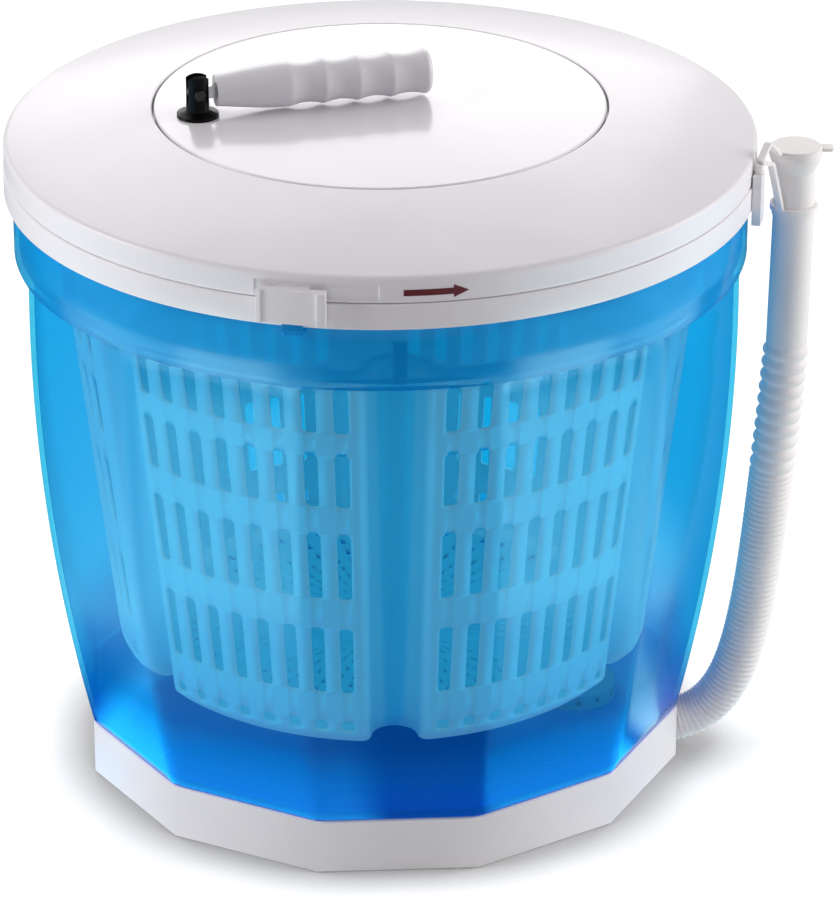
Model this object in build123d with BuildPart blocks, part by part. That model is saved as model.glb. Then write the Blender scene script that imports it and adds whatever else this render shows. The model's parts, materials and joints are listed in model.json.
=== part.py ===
from build123d import *
from math import acos, cos, pi, radians, sin, sqrt, tan
import os

os.makedirs("parts", exist_ok=True)

# Clearances and small shared sizes
running_clearance = 0.1
fit_clearance = 0.2
moving_clearance = 0.3
overrun = 5.0
screw_radius = 1.8
screw_head_radius = 3.6
screw_head_height = 2.4
hex_sides = 6
edge_break = 0.8

# Base: a twelve-sided skirt with a deck, on rubber feet
side_count = 12
base_radius = 150.0
base_height = 27.4
base_wall = 3.0
deck_thickness = 2.5
foot_height = 0.6
foot_radius = 10.0
foot_stem_radius = 5.0
foot_stem_length = 7.0
foot_pad_wall = 6.0
foot_circle = 128.0
foot_count = 4
foot_start_angle = 45.0
column_radius = 7.0
column_circle = 110.0
column_count = 6
column_web = 3.0

# Tub: a see-through twelve-sided shell that bulges, with a round band at the top
tub_side_height = 239.0
tub_top_flat = 169.2
tub_bulge = 7.5
tub_wall = 2.5
tub_floor = 3.0
band_radius = 176.5
band_height = 42.0
band_rib_width = 6.5
band_rib_depth = 3.0
band_rib_height = 20.0
flute_start_angle = 30.0
hub_foot_radius = 17.0
hub_top_radius = 12.0
hub_height = 15.0
tub_boss_radius = 4.5
tub_boss_height = 7.0

# Pivot pin that the basket turns on
pivot_radius = 5.0
pivot_seat_depth = 12.0
pivot_height = 24.0

# Collar ring around the rim of the tub
collar_radius = 180.5
collar_height = 12.5
collar_lip = 2.5
collar_lip_width = 8.5

# Lid cover
lid_radius = 180.0
lid_wall = 2.5
lid_rim_height = 12.2
lid_rise = 14.0
lid_shoulder = 1.6
lid_boss_radius = 4.5
lid_boss_count = 6
lid_seam = 0.3
seal_outset = 5.5
seal_width = 3.5
seal_height = 4.0
seal_squeeze = 0.1

# Turntable disc in the middle of the lid
turntable_radius = 108.0
turntable_thickness = 3.0
turntable_gap = 1.0
skirt_outset = 3.3
skirt_wall = 3.2
skirt_drop = 8.0
flange_overlap = 3.2
flange_thickness = 2.2
flange_gap = 1.2
slide_ring_height = 2.0

# Gear train under the turntable
gear_module = 1.75
ring_teeth = 72
planet_teeth = 24
sun_teeth = 24
planet_count = 3
planet_start_angle = 90.0
ring_screw_start_angle = 30.0
pressure_angle = 20.0
dedendum_share = 1.25
gear_backlash = 0.25
flank_shares = [0.0, 0.25, 0.5, 0.75, 1.0]
gear_height = 8.0
ring_wall = 8.6
ring_rib_width = 7.5
plate_thickness = 3.0
plate_margin = 6.0
plate_rim_height = 10.0
pin_radius = 3.0
pin_boss_radius = 6.0
pin_boss_height = 2.5
pin_head_height = 1.5

# Drive shaft from the sun gear down to the basket
shaft_radius = 5.0
shaft_square = 7.6
shaft_hex_flat = 8.4
shaft_hex_margin = 2.0
shaft_shoulder_radius = 7.5
shaft_shoulder_height = 3.2
bush_wall = 3.0
bush_flange = 3.0
bush_flange_height = 2.0
bush_drop = 6.0
shaft_boss_wall = 5.0
clip_ring_width = 2.0
clip_ring_height = 1.2

# Wash basket with six flutes
basket_top_radius = 154.0
basket_corner_radius = 131.0
basket_bottom_radius = 122.5
basket_clear_height = 27.0
basket_corner_height = 8.0
basket_side_height = 200.0
basket_wall = 2.2
basket_floor = 2.5
basket_rim_height = 4.0
basket_rim_lip = 1.5
flute_count = 6
flute_radius_share = 0.092
flute_place_share = 0.96
flute_fillet_share = 0.052
slot_columns = 8
slot_pitch_angle = 5.75
slot_width = 7.0
slot_rows = [(9.0, 6.5), (31.0, 37.0), (83.5, 36.5), (134.0, 29.0), (174.0, 24.0)]
slot_reach = 15.0
floor_slot_length = 9.0
floor_slot_width = 3.0
floor_slot_pitch = 17.0
floor_slot_rings = 5
floor_slot_first = 34.0
hub_rib_thickness = 2.4
hub_rib_depth = 6.0
hub_rib_length = 84.0
basket_hub_wall = 4.0
basket_bush_wall = 3.0
basket_bush_flange = 3.0
basket_bush_flange_height = 2.5

# Spider across the top of the basket, driven by the shaft
spider_hub_radius = 17.0
spider_hub_height = 22.0
spider_floor = 3.0
spider_arm_width = 14.0
spider_arm_height = 8.0
spider_arm_lift = 10.0
spider_drop = 26.0
spider_arm_count = 3
arm_start_angle = 90.0
ledge_length = 15.0
ledge_width = 16.0
ledge_height = 6.0
ledge_sink = 1.0

# Folding crank handle on the turntable
handle_angle = 188.0
grip_skew = 3.6
handle_circle = 88.0
post_radius = 5.5
post_flange_radius = 10.0
post_flange_height = 1.6
post_cone_height = 1.4
post_stem_radius = 4.0
post_stem_length = 8.0
post_nut_flat = 11.0
post_nut_height = 3.2
pin_above_disc = 12.0
post_dome_radius = 9.0
dome_bow_angle = 18.0
post_slot_width = 4.6
hinge_radius = 1.6
hinge_head_radius = 2.6
hinge_head_height = 0.9
eye_radius = 4.6
spindle_radius = 3.0
spindle_start = 9.6
grip_start = 10.2
grip_end = 113.3
grip_screw_head_radius = 5.5
grip_screw_head_height = 2.0
grip_screw_length = 10.8
grip_cap_thickness = 1.6
grip_cap_radius = 7.0
grip_root_radius = 7.6
grip_crest_radius = 10.9
grip_valley_radius = 9.6
grip_neck_length = 33.7
scallop_count = 4
grip_end_round = 3.0
neck_bow_share = 0.68

# Sliding latches on the lid rim, and the lugs of the tub that they hook on
latch_angle = -105.4
latch_span = 9.9
latch_travel = 7.4
latch_gap = 0.4
latch_thickness = 4.4
latch_height = 16.2
latch_drop = 9.7
latch_bar_span = 1.3
latch_bar_thickness = 1.6
latch_pocket_height = 5.6
latch_pocket_depth = 3.1
latch_neck_span = 5.0
latch_neck_height = 3.0
latch_head_thickness = 1.4
latch_head_height = 6.0
latch_slot_lift = 3.4
lug_span = 3.0
lug_shelf_height = 3.1
lug_upstand_height = 6.4
lug_upstand_thickness = 2.1

# Drain outlet under the tub floor
outlet_x = 95.0
hose_y = -26.0
hose_z = 13.0
outlet_radius = 10.0
outlet_bore = 7.0
outlet_flange_radius = 17.0
outlet_flange_height = 2.5
outlet_thread_radius = 9.0
outlet_thread_length = 9.0
nozzle_length = 10.0
outlet_seal_height = 1.4
outlet_nut_radius = 14.0
outlet_nut_height = 4.0
strainer_radius = 20.0
strainer_height = 7.5
strainer_wall = 1.5
strainer_slot_lift_share = 0.25
strainer_slot_height_share = 0.5
strainer_slot_count = 12
strainer_slot_width = 2.4
deck_opening_margin = 4.0
notch_lift = 1.4
notch_depth = 9.0

# Drain hose: a ribbed tube from the outlet up to the rim, as points of its route in x and z
hose_route = [
    (112.0, 13.0), (136.0, 13.0), (151.0, 15.5), (162.3, 22.3), (170.6, 33.4), (177.0, 50.0),
    (182.4, 76.0), (186.3, 108.0), (189.6, 146.0), (193.2, 188.0), (196.5, 239.0), (196.5, 287.0),
]
hose_crest_radius = 11.0
hose_root_radius = 10.2
hose_bore_radius = 8.6
cuff_radius = 10.0
cuff_length = 68.0
start_cuff_length = 12.0
big_rib_count = 10
big_rib_pitch = 6.7
big_crest_radius = 11.25
big_root_radius = 9.6
fine_rib_count = 63
fine_rib_margin = 0.2
big_rib_margin = 0.4
rib_profile_share = [(0.0, 0.0), (0.3, 1.0), (0.6, 1.0), (0.9, 0.0)]
hose_bend_share = 0.45

# Connector, plug, hanger and clip at the top end of the hose
connector_shoulder_radius = 10.6
connector_shoulder_height = 3.0
connector_body_radius = 9.8
connector_body_height = 20.0
connector_cone_height = 7.0
connector_flange_radius = 12.6
connector_flange_height = 2.5
connector_bore_radius = 7.0
connector_spigot_length = 14.0
plug_thickness = 2.5
plug_stem_length = 10.0
plug_tab_length = 6.2
plug_tab_width = 7.0
plug_tab_thickness = 1.6
plug_tab_round = 1.75
hanger_start_angle = -17.0
hanger_span = 3.4
hanger_thickness = 4.4
hanger_height = 25.0
hanger_below_collar = 6.7
clip_ring_wall = 1.7
clip_ring_length = 2.5
clip_peg_radius = 1.2
clip_peg_length = 10.0
clip_boss_radius = 2.2
clip_boss_height = 4.2
strap_width = 3.6
strap_thickness = 1.8
strap_rise_reach = 9.8
strap_rise_height = 1.8
strap_corner_height = 4.4
strap_peak_reach = 7.4
strap_peak_height = 13.4
strap_bend_radius = 2.4

# Heights worked out from the sizes above
side_angle = 360.0 / side_count
base_flat = base_radius * cos(radians(side_angle / 2))
base_top_z = foot_height + base_height
tub_floor_z = base_top_z + tub_floor
step_z = base_top_z + tub_side_height
tub_rim_z = step_z + band_height
collar_top_z = tub_rim_z + collar_lip
collar_bottom_z = collar_top_z - collar_height
lid_bottom_z = collar_top_z + lid_seam
lid_shoulder_z = lid_bottom_z + lid_rim_height
lid_top_z = lid_shoulder_z + lid_rise
lid_opening_radius = turntable_radius + turntable_gap
lid_fall = lid_rise / (lid_radius - lid_opening_radius)
turntable_under_z = lid_top_z - turntable_thickness
skirt_radius = turntable_radius - skirt_outset
flange_radius = lid_opening_radius + flange_overlap
flange_top_z = lid_top_z - lid_wall - flange_gap
flange_under_z = flange_top_z - flange_thickness
slide_ring_z = flange_under_z - running_clearance - slide_ring_height
plate_top_z = slide_ring_z - plate_rim_height
plate_under_z = plate_top_z - plate_thickness
gear_bottom_z = plate_top_z + pin_boss_height
gear_top_z = gear_bottom_z + gear_height
ring_pitch_radius = gear_module * ring_teeth / 2
planet_pitch_radius = gear_module * planet_teeth / 2
sun_pitch_radius = gear_module * sun_teeth / 2
planet_circle = ring_pitch_radius - planet_pitch_radius
ring_root_radius = ring_pitch_radius + gear_module * dedendum_share
ring_outer_radius = ring_root_radius + ring_wall
ring_screw_circle = ring_root_radius + ring_wall / 2
hub_top_z = tub_floor_z + hub_height
basket_bottom_z = tub_floor_z + basket_clear_height
basket_floor_z = basket_bottom_z + basket_floor
basket_corner_z = basket_bottom_z + basket_corner_height
basket_rim_z = basket_corner_z + basket_side_height
spider_bottom_z = basket_rim_z - spider_drop
spider_top_z = spider_bottom_z + spider_hub_height
arm_bottom_z = spider_bottom_z + spider_arm_lift
arm_top_z = arm_bottom_z + spider_arm_height
hinge_z = lid_top_z + pin_above_disc
plate_radius = flange_radius + moving_clearance + 2 * lid_boss_radius + plate_margin
lid_boss_circle = flange_radius + moving_clearance + lid_boss_radius + edge_break
hose_top_z = hose_route[-1][1]
hose_top_x = hose_route[-1][0]
hose_start_x = hose_route[0][0]


def finish(builder, name):
    """Give the piece its name and write it to its own file."""
    builder.part.label = name
    export_step(builder.part, "parts/" + name + ".step")
    print(name, len(builder.part.solids()), round(builder.part.volume, 1))


def polar(radius, angle, z=0.0):
    """A point at a radius and an angle about the upright axis."""
    return (radius * cos(radians(angle)), radius * sin(radians(angle)), z)


def faceted_body(low_z, high_z, low_flat, high_flat, bulge, inset):
    """Twelve-sided upright body whose sides are all the same bulging arc, from six crossed prisms."""
    middle = ((low_flat + high_flat) / 2 + bulge - inset, (low_z + high_z) / 2)
    low = (low_flat - inset, low_z)
    high = (high_flat - inset, high_z)
    with BuildPart() as body:
        for pair in range(side_count // 2):
            turn = side_angle * pair
            across = Plane(origin=(0, 0, 0), x_dir=polar(1, turn), z_dir=polar(1, turn - 90))
            with BuildSketch(across):
                with BuildLine():
                    ThreePointArc(low, middle, high)
                    Line(high, (-high[0], high[1]))
                    ThreePointArc((-high[0], high[1]), (-middle[0], middle[1]), (-low[0], low[1]))
                    Line((-low[0], low[1]), low)
                make_face()
            mode = Mode.ADD if pair == 0 else Mode.INTERSECT
            extrude(amount=band_radius + overrun, both=True, mode=mode)
    return body.part


def arc_block(inner, outer, start, span, low_z, height):
    """Block between two radii and two angles, as tall as height."""
    end = start + span
    middle = start + span / 2
    with BuildPart() as block:
        with BuildSketch(Plane.XY.offset(low_z)):
            with BuildLine():
                ThreePointArc(polar(inner, start), polar(inner, middle), polar(inner, end))
                Line(polar(inner, end), polar(outer, end))
                ThreePointArc(polar(outer, end), polar(outer, middle), polar(outer, start))
                Line(polar(outer, start), polar(inner, start))
            make_face()
        extrude(amount=height)
    return block.part


post_x, post_y = polar(handle_circle, handle_angle)[:2]


def involute(angle):
    """Involute of an angle: its tangent less the angle, in radians."""
    return tan(angle) - angle


def flank_half_angle(radius, pitch_radius, width):
    """Half the angle that a tooth of the given width at the pitch circle fills at a radius."""
    pressure = radians(pressure_angle)
    base = pitch_radius * cos(pressure)
    local = acos(min(1.0, base / radius))
    return width / (2 * pitch_radius) + involute(pressure) - involute(local)


def tooth_points(teeth, width, inner_radius, outer_radius, offset):
    """Closed outline of teeth, or of the spaces of an internal gear, with involute flanks."""
    pitch_radius = gear_module * teeth / 2
    radii = [inner_radius + (outer_radius - inner_radius) * share for share in flank_shares]
    half = [flank_half_angle(radius, pitch_radius, width) * 180 / pi for radius in radii]
    points = []
    for tooth in range(teeth):
        centre = 360.0 / teeth * tooth + offset
        points += [polar(r, centre - a)[:2] for r, a in zip(radii, half)]
        points += [polar(r, centre + a)[:2] for r, a in zip(radii[::-1], half[::-1])]
    return points


# Base skirt and deck
with BuildPart() as base:
    with BuildSketch(Plane.XY.offset(foot_height)):
        RegularPolygon(base_flat, side_count, major_radius=False, rotation=side_angle / 2)
    extrude(amount=base_height)
    chamfer(base.faces().sort_by(Axis.Z)[-1].edges(), edge_break)
    with BuildSketch(Plane.XY.offset(foot_height)):
        RegularPolygon(base_flat - base_wall, side_count, major_radius=False, rotation=side_angle / 2)
    extrude(amount=base_height - deck_thickness, mode=Mode.SUBTRACT)
    column_bottom_z = base_top_z - tub_boss_height - column_web
    with BuildSketch(Plane.XY.offset(column_bottom_z)):
        with PolarLocations(column_circle, column_count, start_angle=side_angle):
            Circle(column_radius)
    extrude(amount=base_top_z - deck_thickness - column_bottom_z)
    with BuildSketch(Plane.XY.offset(foot_height)):
        with PolarLocations(foot_circle, foot_count, start_angle=foot_start_angle):
            Circle(foot_stem_radius + foot_pad_wall)
    extrude(amount=base_height - deck_thickness)
    with BuildSketch(Plane.XY.offset(foot_height)):
        with PolarLocations(foot_circle, foot_count, start_angle=foot_start_angle):
            Circle(foot_stem_radius + running_clearance)
    extrude(amount=foot_stem_length + running_clearance, mode=Mode.SUBTRACT)
    with BuildSketch(Plane.XY.offset(base_top_z - tub_boss_height)):
        with PolarLocations(column_circle, column_count, start_angle=side_angle):
            Circle(tub_boss_radius + fit_clearance)
    extrude(amount=tub_boss_height, mode=Mode.SUBTRACT)
    with BuildSketch(Plane.XY.offset(column_bottom_z)):
        with PolarLocations(column_circle, column_count, start_angle=side_angle):
            Circle(screw_radius + fit_clearance)
    extrude(amount=column_web, mode=Mode.SUBTRACT)
    with BuildSketch(Plane.XY.offset(base_top_z - deck_thickness)):
        with Locations((outlet_x, hose_y)):
            Circle(outlet_flange_radius + deck_opening_margin)
    extrude(amount=deck_thickness, mode=Mode.SUBTRACT)
    notch_radius = hose_crest_radius + moving_clearance * 2
    with BuildSketch(Plane.YZ.offset(base_flat + base_wall - notch_depth)):
        with Locations((hose_y, hose_z + notch_lift)):
            Circle(notch_radius)
        with Locations((hose_y, (hose_z + notch_lift) / 2)):
            Rectangle(2 * notch_radius, hose_z + notch_lift)
    extrude(amount=notch_depth, mode=Mode.SUBTRACT)

# Rubber feet pressed into the pads of the base
with BuildPart() as rubber_feet:
    with BuildSketch(Plane.XY):
        with PolarLocations(foot_circle, foot_count, start_angle=foot_start_angle):
            Circle(foot_radius)
    extrude(amount=foot_height)
    with BuildSketch(Plane.XY.offset(foot_height)):
        with PolarLocations(foot_circle, foot_count, start_angle=foot_start_angle):
            Circle(foot_stem_radius)
    extrude(amount=foot_stem_length)

# Screws that hold the base under the tub
with BuildPart() as base_screws:
    with BuildSketch(Plane.XY.offset(column_bottom_z - screw_head_height)):
        with PolarLocations(column_circle, column_count, start_angle=side_angle):
            Circle(screw_head_radius)
    extrude(amount=screw_head_height)
    with BuildSketch(Plane.XY.offset(column_bottom_z)):
        with PolarLocations(column_circle, column_count, start_angle=side_angle):
            Circle(screw_radius)
    extrude(amount=column_web + tub_boss_height - edge_break)

# See-through tub: bulging sides, floor, hub, round band with ribs, and a lug for each latch
tub_outer = faceted_body(base_top_z, step_z, base_flat, tub_top_flat, tub_bulge, 0)
tub_inner = faceted_body(base_top_z, step_z, base_flat, tub_top_flat, tub_bulge, tub_wall)
lug_top_z = collar_bottom_z - moving_clearance
lug_bottom_z = lug_top_z - lug_shelf_height
latch_inner_radius = collar_radius + latch_gap
upstand_inner_radius = latch_inner_radius + moving_clearance
upstand_outer_radius = upstand_inner_radius + lug_upstand_thickness
lugs = []
for turn in (0, 180):
    start = latch_angle + turn - lug_span / 2
    lugs.append(arc_block(band_radius - tub_wall / 2, upstand_outer_radius, start, lug_span,
                          lug_bottom_z, lug_shelf_height))
    lugs.append(arc_block(upstand_inner_radius, upstand_outer_radius, start, lug_span,
                          lug_bottom_z, lug_shelf_height + lug_upstand_height))
with BuildPart() as tub:
    add(tub_outer)
    add(tub_inner, mode=Mode.SUBTRACT)
    with BuildSketch(Plane.XY.offset(base_top_z)):
        RegularPolygon(base_flat - tub_wall / 2, side_count, major_radius=False, rotation=side_angle / 2)
    extrude(amount=tub_floor)
    with BuildSketch(Plane.XY.offset(step_z)):
        Circle(band_radius)
        RegularPolygon(tub_top_flat - tub_wall, side_count, major_radius=False,
                       rotation=side_angle / 2, mode=Mode.SUBTRACT)
    extrude(amount=tub_wall)
    with BuildSketch(Plane.XY.offset(step_z + tub_wall)):
        Circle(band_radius)
        Circle(band_radius - tub_wall, mode=Mode.SUBTRACT)
    extrude(amount=band_height - tub_wall)
    with BuildSketch(Plane.XY.offset(step_z + tub_wall)):
        with PolarLocations(band_radius - tub_wall - band_rib_depth / 2, flute_count,
                            start_angle=flute_start_angle):
            Rectangle(band_rib_depth + tub_wall, band_rib_width)
    extrude(amount=band_rib_height)
    with BuildSketch(Plane.XY.offset(tub_floor_z)):
        Circle(hub_foot_radius)
    with BuildSketch(Plane.XY.offset(hub_top_z)):
        Circle(hub_top_radius)
    loft()
    with BuildSketch(Plane.XY.offset(hub_top_z - pivot_seat_depth)):
        Circle(pivot_radius)
    extrude(amount=pivot_seat_depth, mode=Mode.SUBTRACT)
    with BuildSketch(Plane.XY.offset(base_top_z - tub_boss_height)):
        with PolarLocations(column_circle, column_count, start_angle=side_angle):
            Circle(tub_boss_radius)
            Circle(screw_radius, mode=Mode.SUBTRACT)
    extrude(amount=tub_boss_height)
    with BuildSketch(Plane.XY.offset(base_top_z)):
        with Locations((outlet_x, hose_y)):
            Circle(outlet_thread_radius + fit_clearance)
    extrude(amount=tub_floor, mode=Mode.SUBTRACT)
    for lug in lugs:
        add(lug)

# Steel pin pressed into the hub, which the basket turns on
with BuildPart() as pivot_pin:
    with BuildSketch(Plane.XY.offset(hub_top_z - pivot_seat_depth)):
        Circle(pivot_radius)
    extrude(amount=pivot_seat_depth + pivot_height)
    chamfer(pivot_pin.faces().sort_by(Axis.Z)[-1].edges(), edge_break)

# Collar ring snapped over the rim of the tub
with BuildPart() as collar:
    with BuildSketch(Plane.XZ):
        with BuildLine():
            Polyline(
                (band_radius + running_clearance, collar_bottom_z),
                (collar_radius, collar_bottom_z),
                (collar_radius, collar_top_z - edge_break),
                (collar_radius - edge_break, collar_top_z),
                (collar_radius - collar_lip_width, collar_top_z),
                (collar_radius - collar_lip_width, tub_rim_z),
                (band_radius + running_clearance, tub_rim_z),
                close=True,
            )
        make_face()
    revolve(axis=Axis.Z)

# Drain outlet: an elbow under the floor with a flange, a threaded neck and a nozzle
flange_z = base_top_z - outlet_seal_height
with BuildPart() as drain_outlet:
    with BuildSketch(Plane.XY.offset(hose_z)):
        with Locations((outlet_x, hose_y)):
            Circle(outlet_radius)
    extrude(amount=flange_z - hose_z)
    with BuildSketch(Plane.XY.offset(flange_z - outlet_flange_height)):
        with Locations((outlet_x, hose_y)):
            Circle(outlet_flange_radius)
    extrude(amount=outlet_flange_height)
    with BuildSketch(Plane.XY.offset(flange_z)):
        with Locations((outlet_x, hose_y)):
            Circle(outlet_thread_radius)
    extrude(amount=outlet_thread_length)
    with BuildSketch(Plane.YZ.offset(outlet_x)):
        with Locations((hose_y, hose_z)):
            Circle(outlet_radius)
    extrude(amount=hose_start_x - outlet_x)
    with Locations((outlet_x, hose_y, hose_z)):
        Sphere(outlet_radius)
    with BuildSketch(Plane.YZ.offset(hose_start_x)):
        with Locations((hose_y, hose_z)):
            Circle(hose_bore_radius - running_clearance)
    extrude(amount=nozzle_length)
    with BuildSketch(Plane.XY.offset(hose_z)):
        with Locations((outlet_x, hose_y)):
            Circle(outlet_bore)
    extrude(amount=base_height + outlet_thread_length, mode=Mode.SUBTRACT)
    with BuildSketch(Plane.YZ.offset(outlet_x)):
        with Locations((hose_y, hose_z)):
            Circle(outlet_bore)
    extrude(amount=hose_start_x + nozzle_length + overrun - outlet_x, mode=Mode.SUBTRACT)
    with Locations((outlet_x, hose_y, hose_z)):
        Sphere(outlet_bore, mode=Mode.SUBTRACT)

# Rubber ring between the outlet flange and the tub floor
with BuildPart() as outlet_seal:
    with BuildSketch(Plane.XY.offset(flange_z)):
        with Locations((outlet_x, hose_y)):
            Circle(outlet_flange_radius)
            Circle(outlet_thread_radius + running_clearance, mode=Mode.SUBTRACT)
    extrude(amount=outlet_seal_height)

# Ring nut that clamps the outlet, inside the tub
with BuildPart() as outlet_nut:
    with BuildSketch(Plane.XY.offset(tub_floor_z)):
        with Locations((outlet_x, hose_y)):
            RegularPolygon(outlet_nut_radius, hex_sides)
            Circle(outlet_thread_radius + running_clearance, mode=Mode.SUBTRACT)
    extrude(amount=outlet_nut_height)

# Slotted strainer cup over the nut
with BuildPart() as outlet_strainer:
    with BuildSketch(Plane.XY.offset(tub_floor_z)):
        with Locations((outlet_x, hose_y)):
            Circle(strainer_radius)
    extrude(amount=strainer_height)
    with BuildSketch(Plane.XY.offset(tub_floor_z)):
        with Locations((outlet_x, hose_y)):
            Circle(strainer_radius - strainer_wall)
    extrude(amount=strainer_height - strainer_wall, mode=Mode.SUBTRACT)
    with BuildSketch(Plane.XY.offset(tub_floor_z + strainer_height * strainer_slot_lift_share)):
        with Locations((outlet_x, hose_y)):
            with PolarLocations(strainer_radius, strainer_slot_count):
                Rectangle(strainer_radius, strainer_slot_width)
    extrude(amount=strainer_height * strainer_slot_height_share, mode=Mode.SUBTRACT)

# Ribbed drain hose with its bore
route = [Vector(x, hose_y, z) for x, z in hose_route]
runs = [(b - a).length for a, b in zip(route[:-1], route[1:])]
turns = [(b - a).get_angle(c - b) for a, b, c in zip(route[:-2], route[1:-1], route[2:])]
bends = [
    hose_bend_share * min(before, after) / tan(radians(turn) / 2)
    for before, after, turn in zip(runs[:-1], runs[1:], turns)
]
print("hose runs", [round(run, 1) for run in runs])
print("hose turns", [round(turn, 1) for turn in turns])
print("hose bend radii", [round(bend, 1) for bend in bends])
with BuildLine() as hose_path:
    FilletPolyline(*route, radius=bends)
hose_length = hose_path.wire().length
cuff_start = hose_length - cuff_length
big_start = cuff_start - big_rib_count * big_rib_pitch
fine_pitch = (big_start - start_cuff_length) / fine_rib_count
hose_rings = [(0.0, cuff_radius), (start_cuff_length, cuff_radius)]
for rib in range(fine_rib_count):
    for along, swell in rib_profile_share:
        radius = hose_root_radius + (hose_crest_radius - hose_root_radius) * swell
        hose_rings.append((start_cuff_length + fine_pitch * (rib + along) + fine_rib_margin, radius))
for rib in range(big_rib_count):
    for along, swell in rib_profile_share:
        radius = big_root_radius + (big_crest_radius - big_root_radius) * swell
        hose_rings.append((big_start + big_rib_pitch * (rib + along) + big_rib_margin, radius))
hose_rings += [(cuff_start + edge_break, cuff_radius), (hose_length, cuff_radius)]
with BuildPart() as drain_hose:
    for place, radius in hose_rings:
        share = place / hose_length
        middle = hose_path.wire() @ share
        with BuildSketch(Plane(origin=middle, x_dir=(0, 1, 0), z_dir=hose_path.wire() % share)):
            Circle(radius)
    loft(ruled=True)
    with BuildSketch(Plane(origin=route[0], x_dir=(0, 1, 0), z_dir=hose_path.wire() % 0)):
        Circle(hose_bore_radius)
    sweep(path=hose_path.wire(), mode=Mode.SUBTRACT)
hose_section = pi * (((hose_crest_radius + hose_root_radius) / 2) ** 2 - hose_bore_radius ** 2)
print("hose length", round(hose_length, 1), "volume", round(drain_hose.part.volume, 0),
      "section times length", round(hose_section * hose_length, 0))

# Connector on the top end of the hose
shoulder_top_z = hose_top_z + connector_shoulder_height
body_top_z = shoulder_top_z + connector_body_height
cone_top_z = body_top_z + connector_cone_height
connector_top_z = cone_top_z + connector_flange_height
with BuildPart() as hose_connector:
    with BuildSketch(Plane.XZ):
        with BuildLine():
            Polyline(
                (connector_bore_radius, hose_top_z - connector_spigot_length),
                (hose_bore_radius - running_clearance, hose_top_z - connector_spigot_length),
                (hose_bore_radius - running_clearance, hose_top_z),
                (connector_shoulder_radius, hose_top_z),
                (connector_shoulder_radius, shoulder_top_z),
                (connector_body_radius, shoulder_top_z),
                (connector_body_radius, body_top_z),
                (connector_flange_radius, cone_top_z),
                (connector_flange_radius, connector_top_z),
                (connector_bore_radius, connector_top_z),
                close=True,
            )
        make_face()
    revolve(axis=Axis.Z)
hose_connector.part = hose_connector.part.moved(Location((hose_top_x, hose_y, 0)))

# Plug that closes the connector, with a pull tab
with BuildPart() as drain_plug:
    with BuildSketch(Plane.XY.offset(connector_top_z)):
        with Locations((hose_top_x, hose_y)):
            Circle(connector_flange_radius)
        with Locations((hose_top_x + connector_flange_radius + plug_tab_length / 2 - edge_break, hose_y)):
            RectangleRounded(plug_tab_length, plug_tab_width, plug_tab_round)
    extrude(amount=plug_tab_thickness)
    with BuildSketch(Plane.XY.offset(connector_top_z)):
        with Locations((hose_top_x, hose_y)):
            Circle(connector_flange_radius)
    extrude(amount=plug_thickness)
    chamfer(drain_plug.faces().sort_by(Axis.Z)[-1].edges(), edge_break)
    with BuildSketch(Plane.XY.offset(connector_top_z - plug_stem_length)):
        with Locations((hose_top_x, hose_y)):
            Circle(connector_bore_radius - running_clearance)
    extrude(amount=plug_stem_length)

# Hanger block on the collar, with a hole in its top for the peg of the clip
hanger_inner_radius = collar_radius + running_clearance
hanger_bottom_z = collar_bottom_z - hanger_below_collar
hanger_top_z = hanger_bottom_z + hanger_height
peg_x, peg_y = polar(hanger_inner_radius + hanger_thickness / 2, hanger_start_angle + hanger_span / 2)[:2]
with BuildPart() as hose_hanger:
    add(arc_block(hanger_inner_radius, hanger_inner_radius + hanger_thickness, hanger_start_angle,
                  hanger_span, hanger_bottom_z, hanger_height))
    with BuildSketch(Plane.XY.offset(hanger_top_z)):
        with Locations((peg_x, peg_y)):
            Circle(clip_peg_radius + running_clearance)
    extrude(amount=-clip_peg_length - fit_clearance, mode=Mode.SUBTRACT)

# Clip: a ring round the connector, and a strap that rises to a peg in the hanger and on to the plug
clip_inner_radius = connector_body_radius + running_clearance
clip_ring_z = shoulder_top_z + running_clearance
peg_distance = sqrt((hose_top_x - peg_x) ** 2 + (hose_y - peg_y) ** 2)
strap_x_share = (peg_x - hose_top_x) / peg_distance
strap_y_share = (peg_y - hose_y) / peg_distance
clip_plane = Plane(
    origin=(hose_top_x, hose_y, 0),
    x_dir=(strap_x_share, strap_y_share, 0),
    z_dir=(strap_y_share, -strap_x_share, 0),
)
strap_start = (clip_inner_radius + clip_ring_wall / 2, clip_ring_z + clip_ring_length / 2)
strap_rise = (peg_distance - strap_rise_reach, hanger_top_z + strap_rise_height)
strap_corner = (peg_distance, hanger_top_z + strap_corner_height)
strap_peak = (peg_distance - strap_peak_reach, hanger_top_z + strap_peak_height)
strap_end = (connector_flange_radius + strap_thickness, connector_top_z + plug_thickness)
with BuildPart() as hose_clip:
    with BuildSketch(Plane.XY.offset(clip_ring_z)):
        with Locations((hose_top_x, hose_y)):
            Circle(clip_inner_radius + clip_ring_wall)
            Circle(clip_inner_radius, mode=Mode.SUBTRACT)
    extrude(amount=clip_ring_length)
    with BuildSketch(clip_plane):
        with BuildLine():
            FilletPolyline(strap_start, strap_rise, strap_corner, strap_peak, strap_end,
                           radius=strap_bend_radius)
        trace(line_width=strap_thickness)
    extrude(amount=strap_width / 2, both=True)
    with BuildSketch(Plane.XY.offset(hanger_top_z + running_clearance)):
        with Locations((peg_x, peg_y)):
            Circle(clip_boss_radius)
    extrude(amount=clip_boss_height)
    with BuildSketch(Plane.XY.offset(hanger_top_z + running_clearance)):
        with Locations((peg_x, peg_y)):
            Circle(clip_peg_radius)
    extrude(amount=-clip_peg_length)


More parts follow.
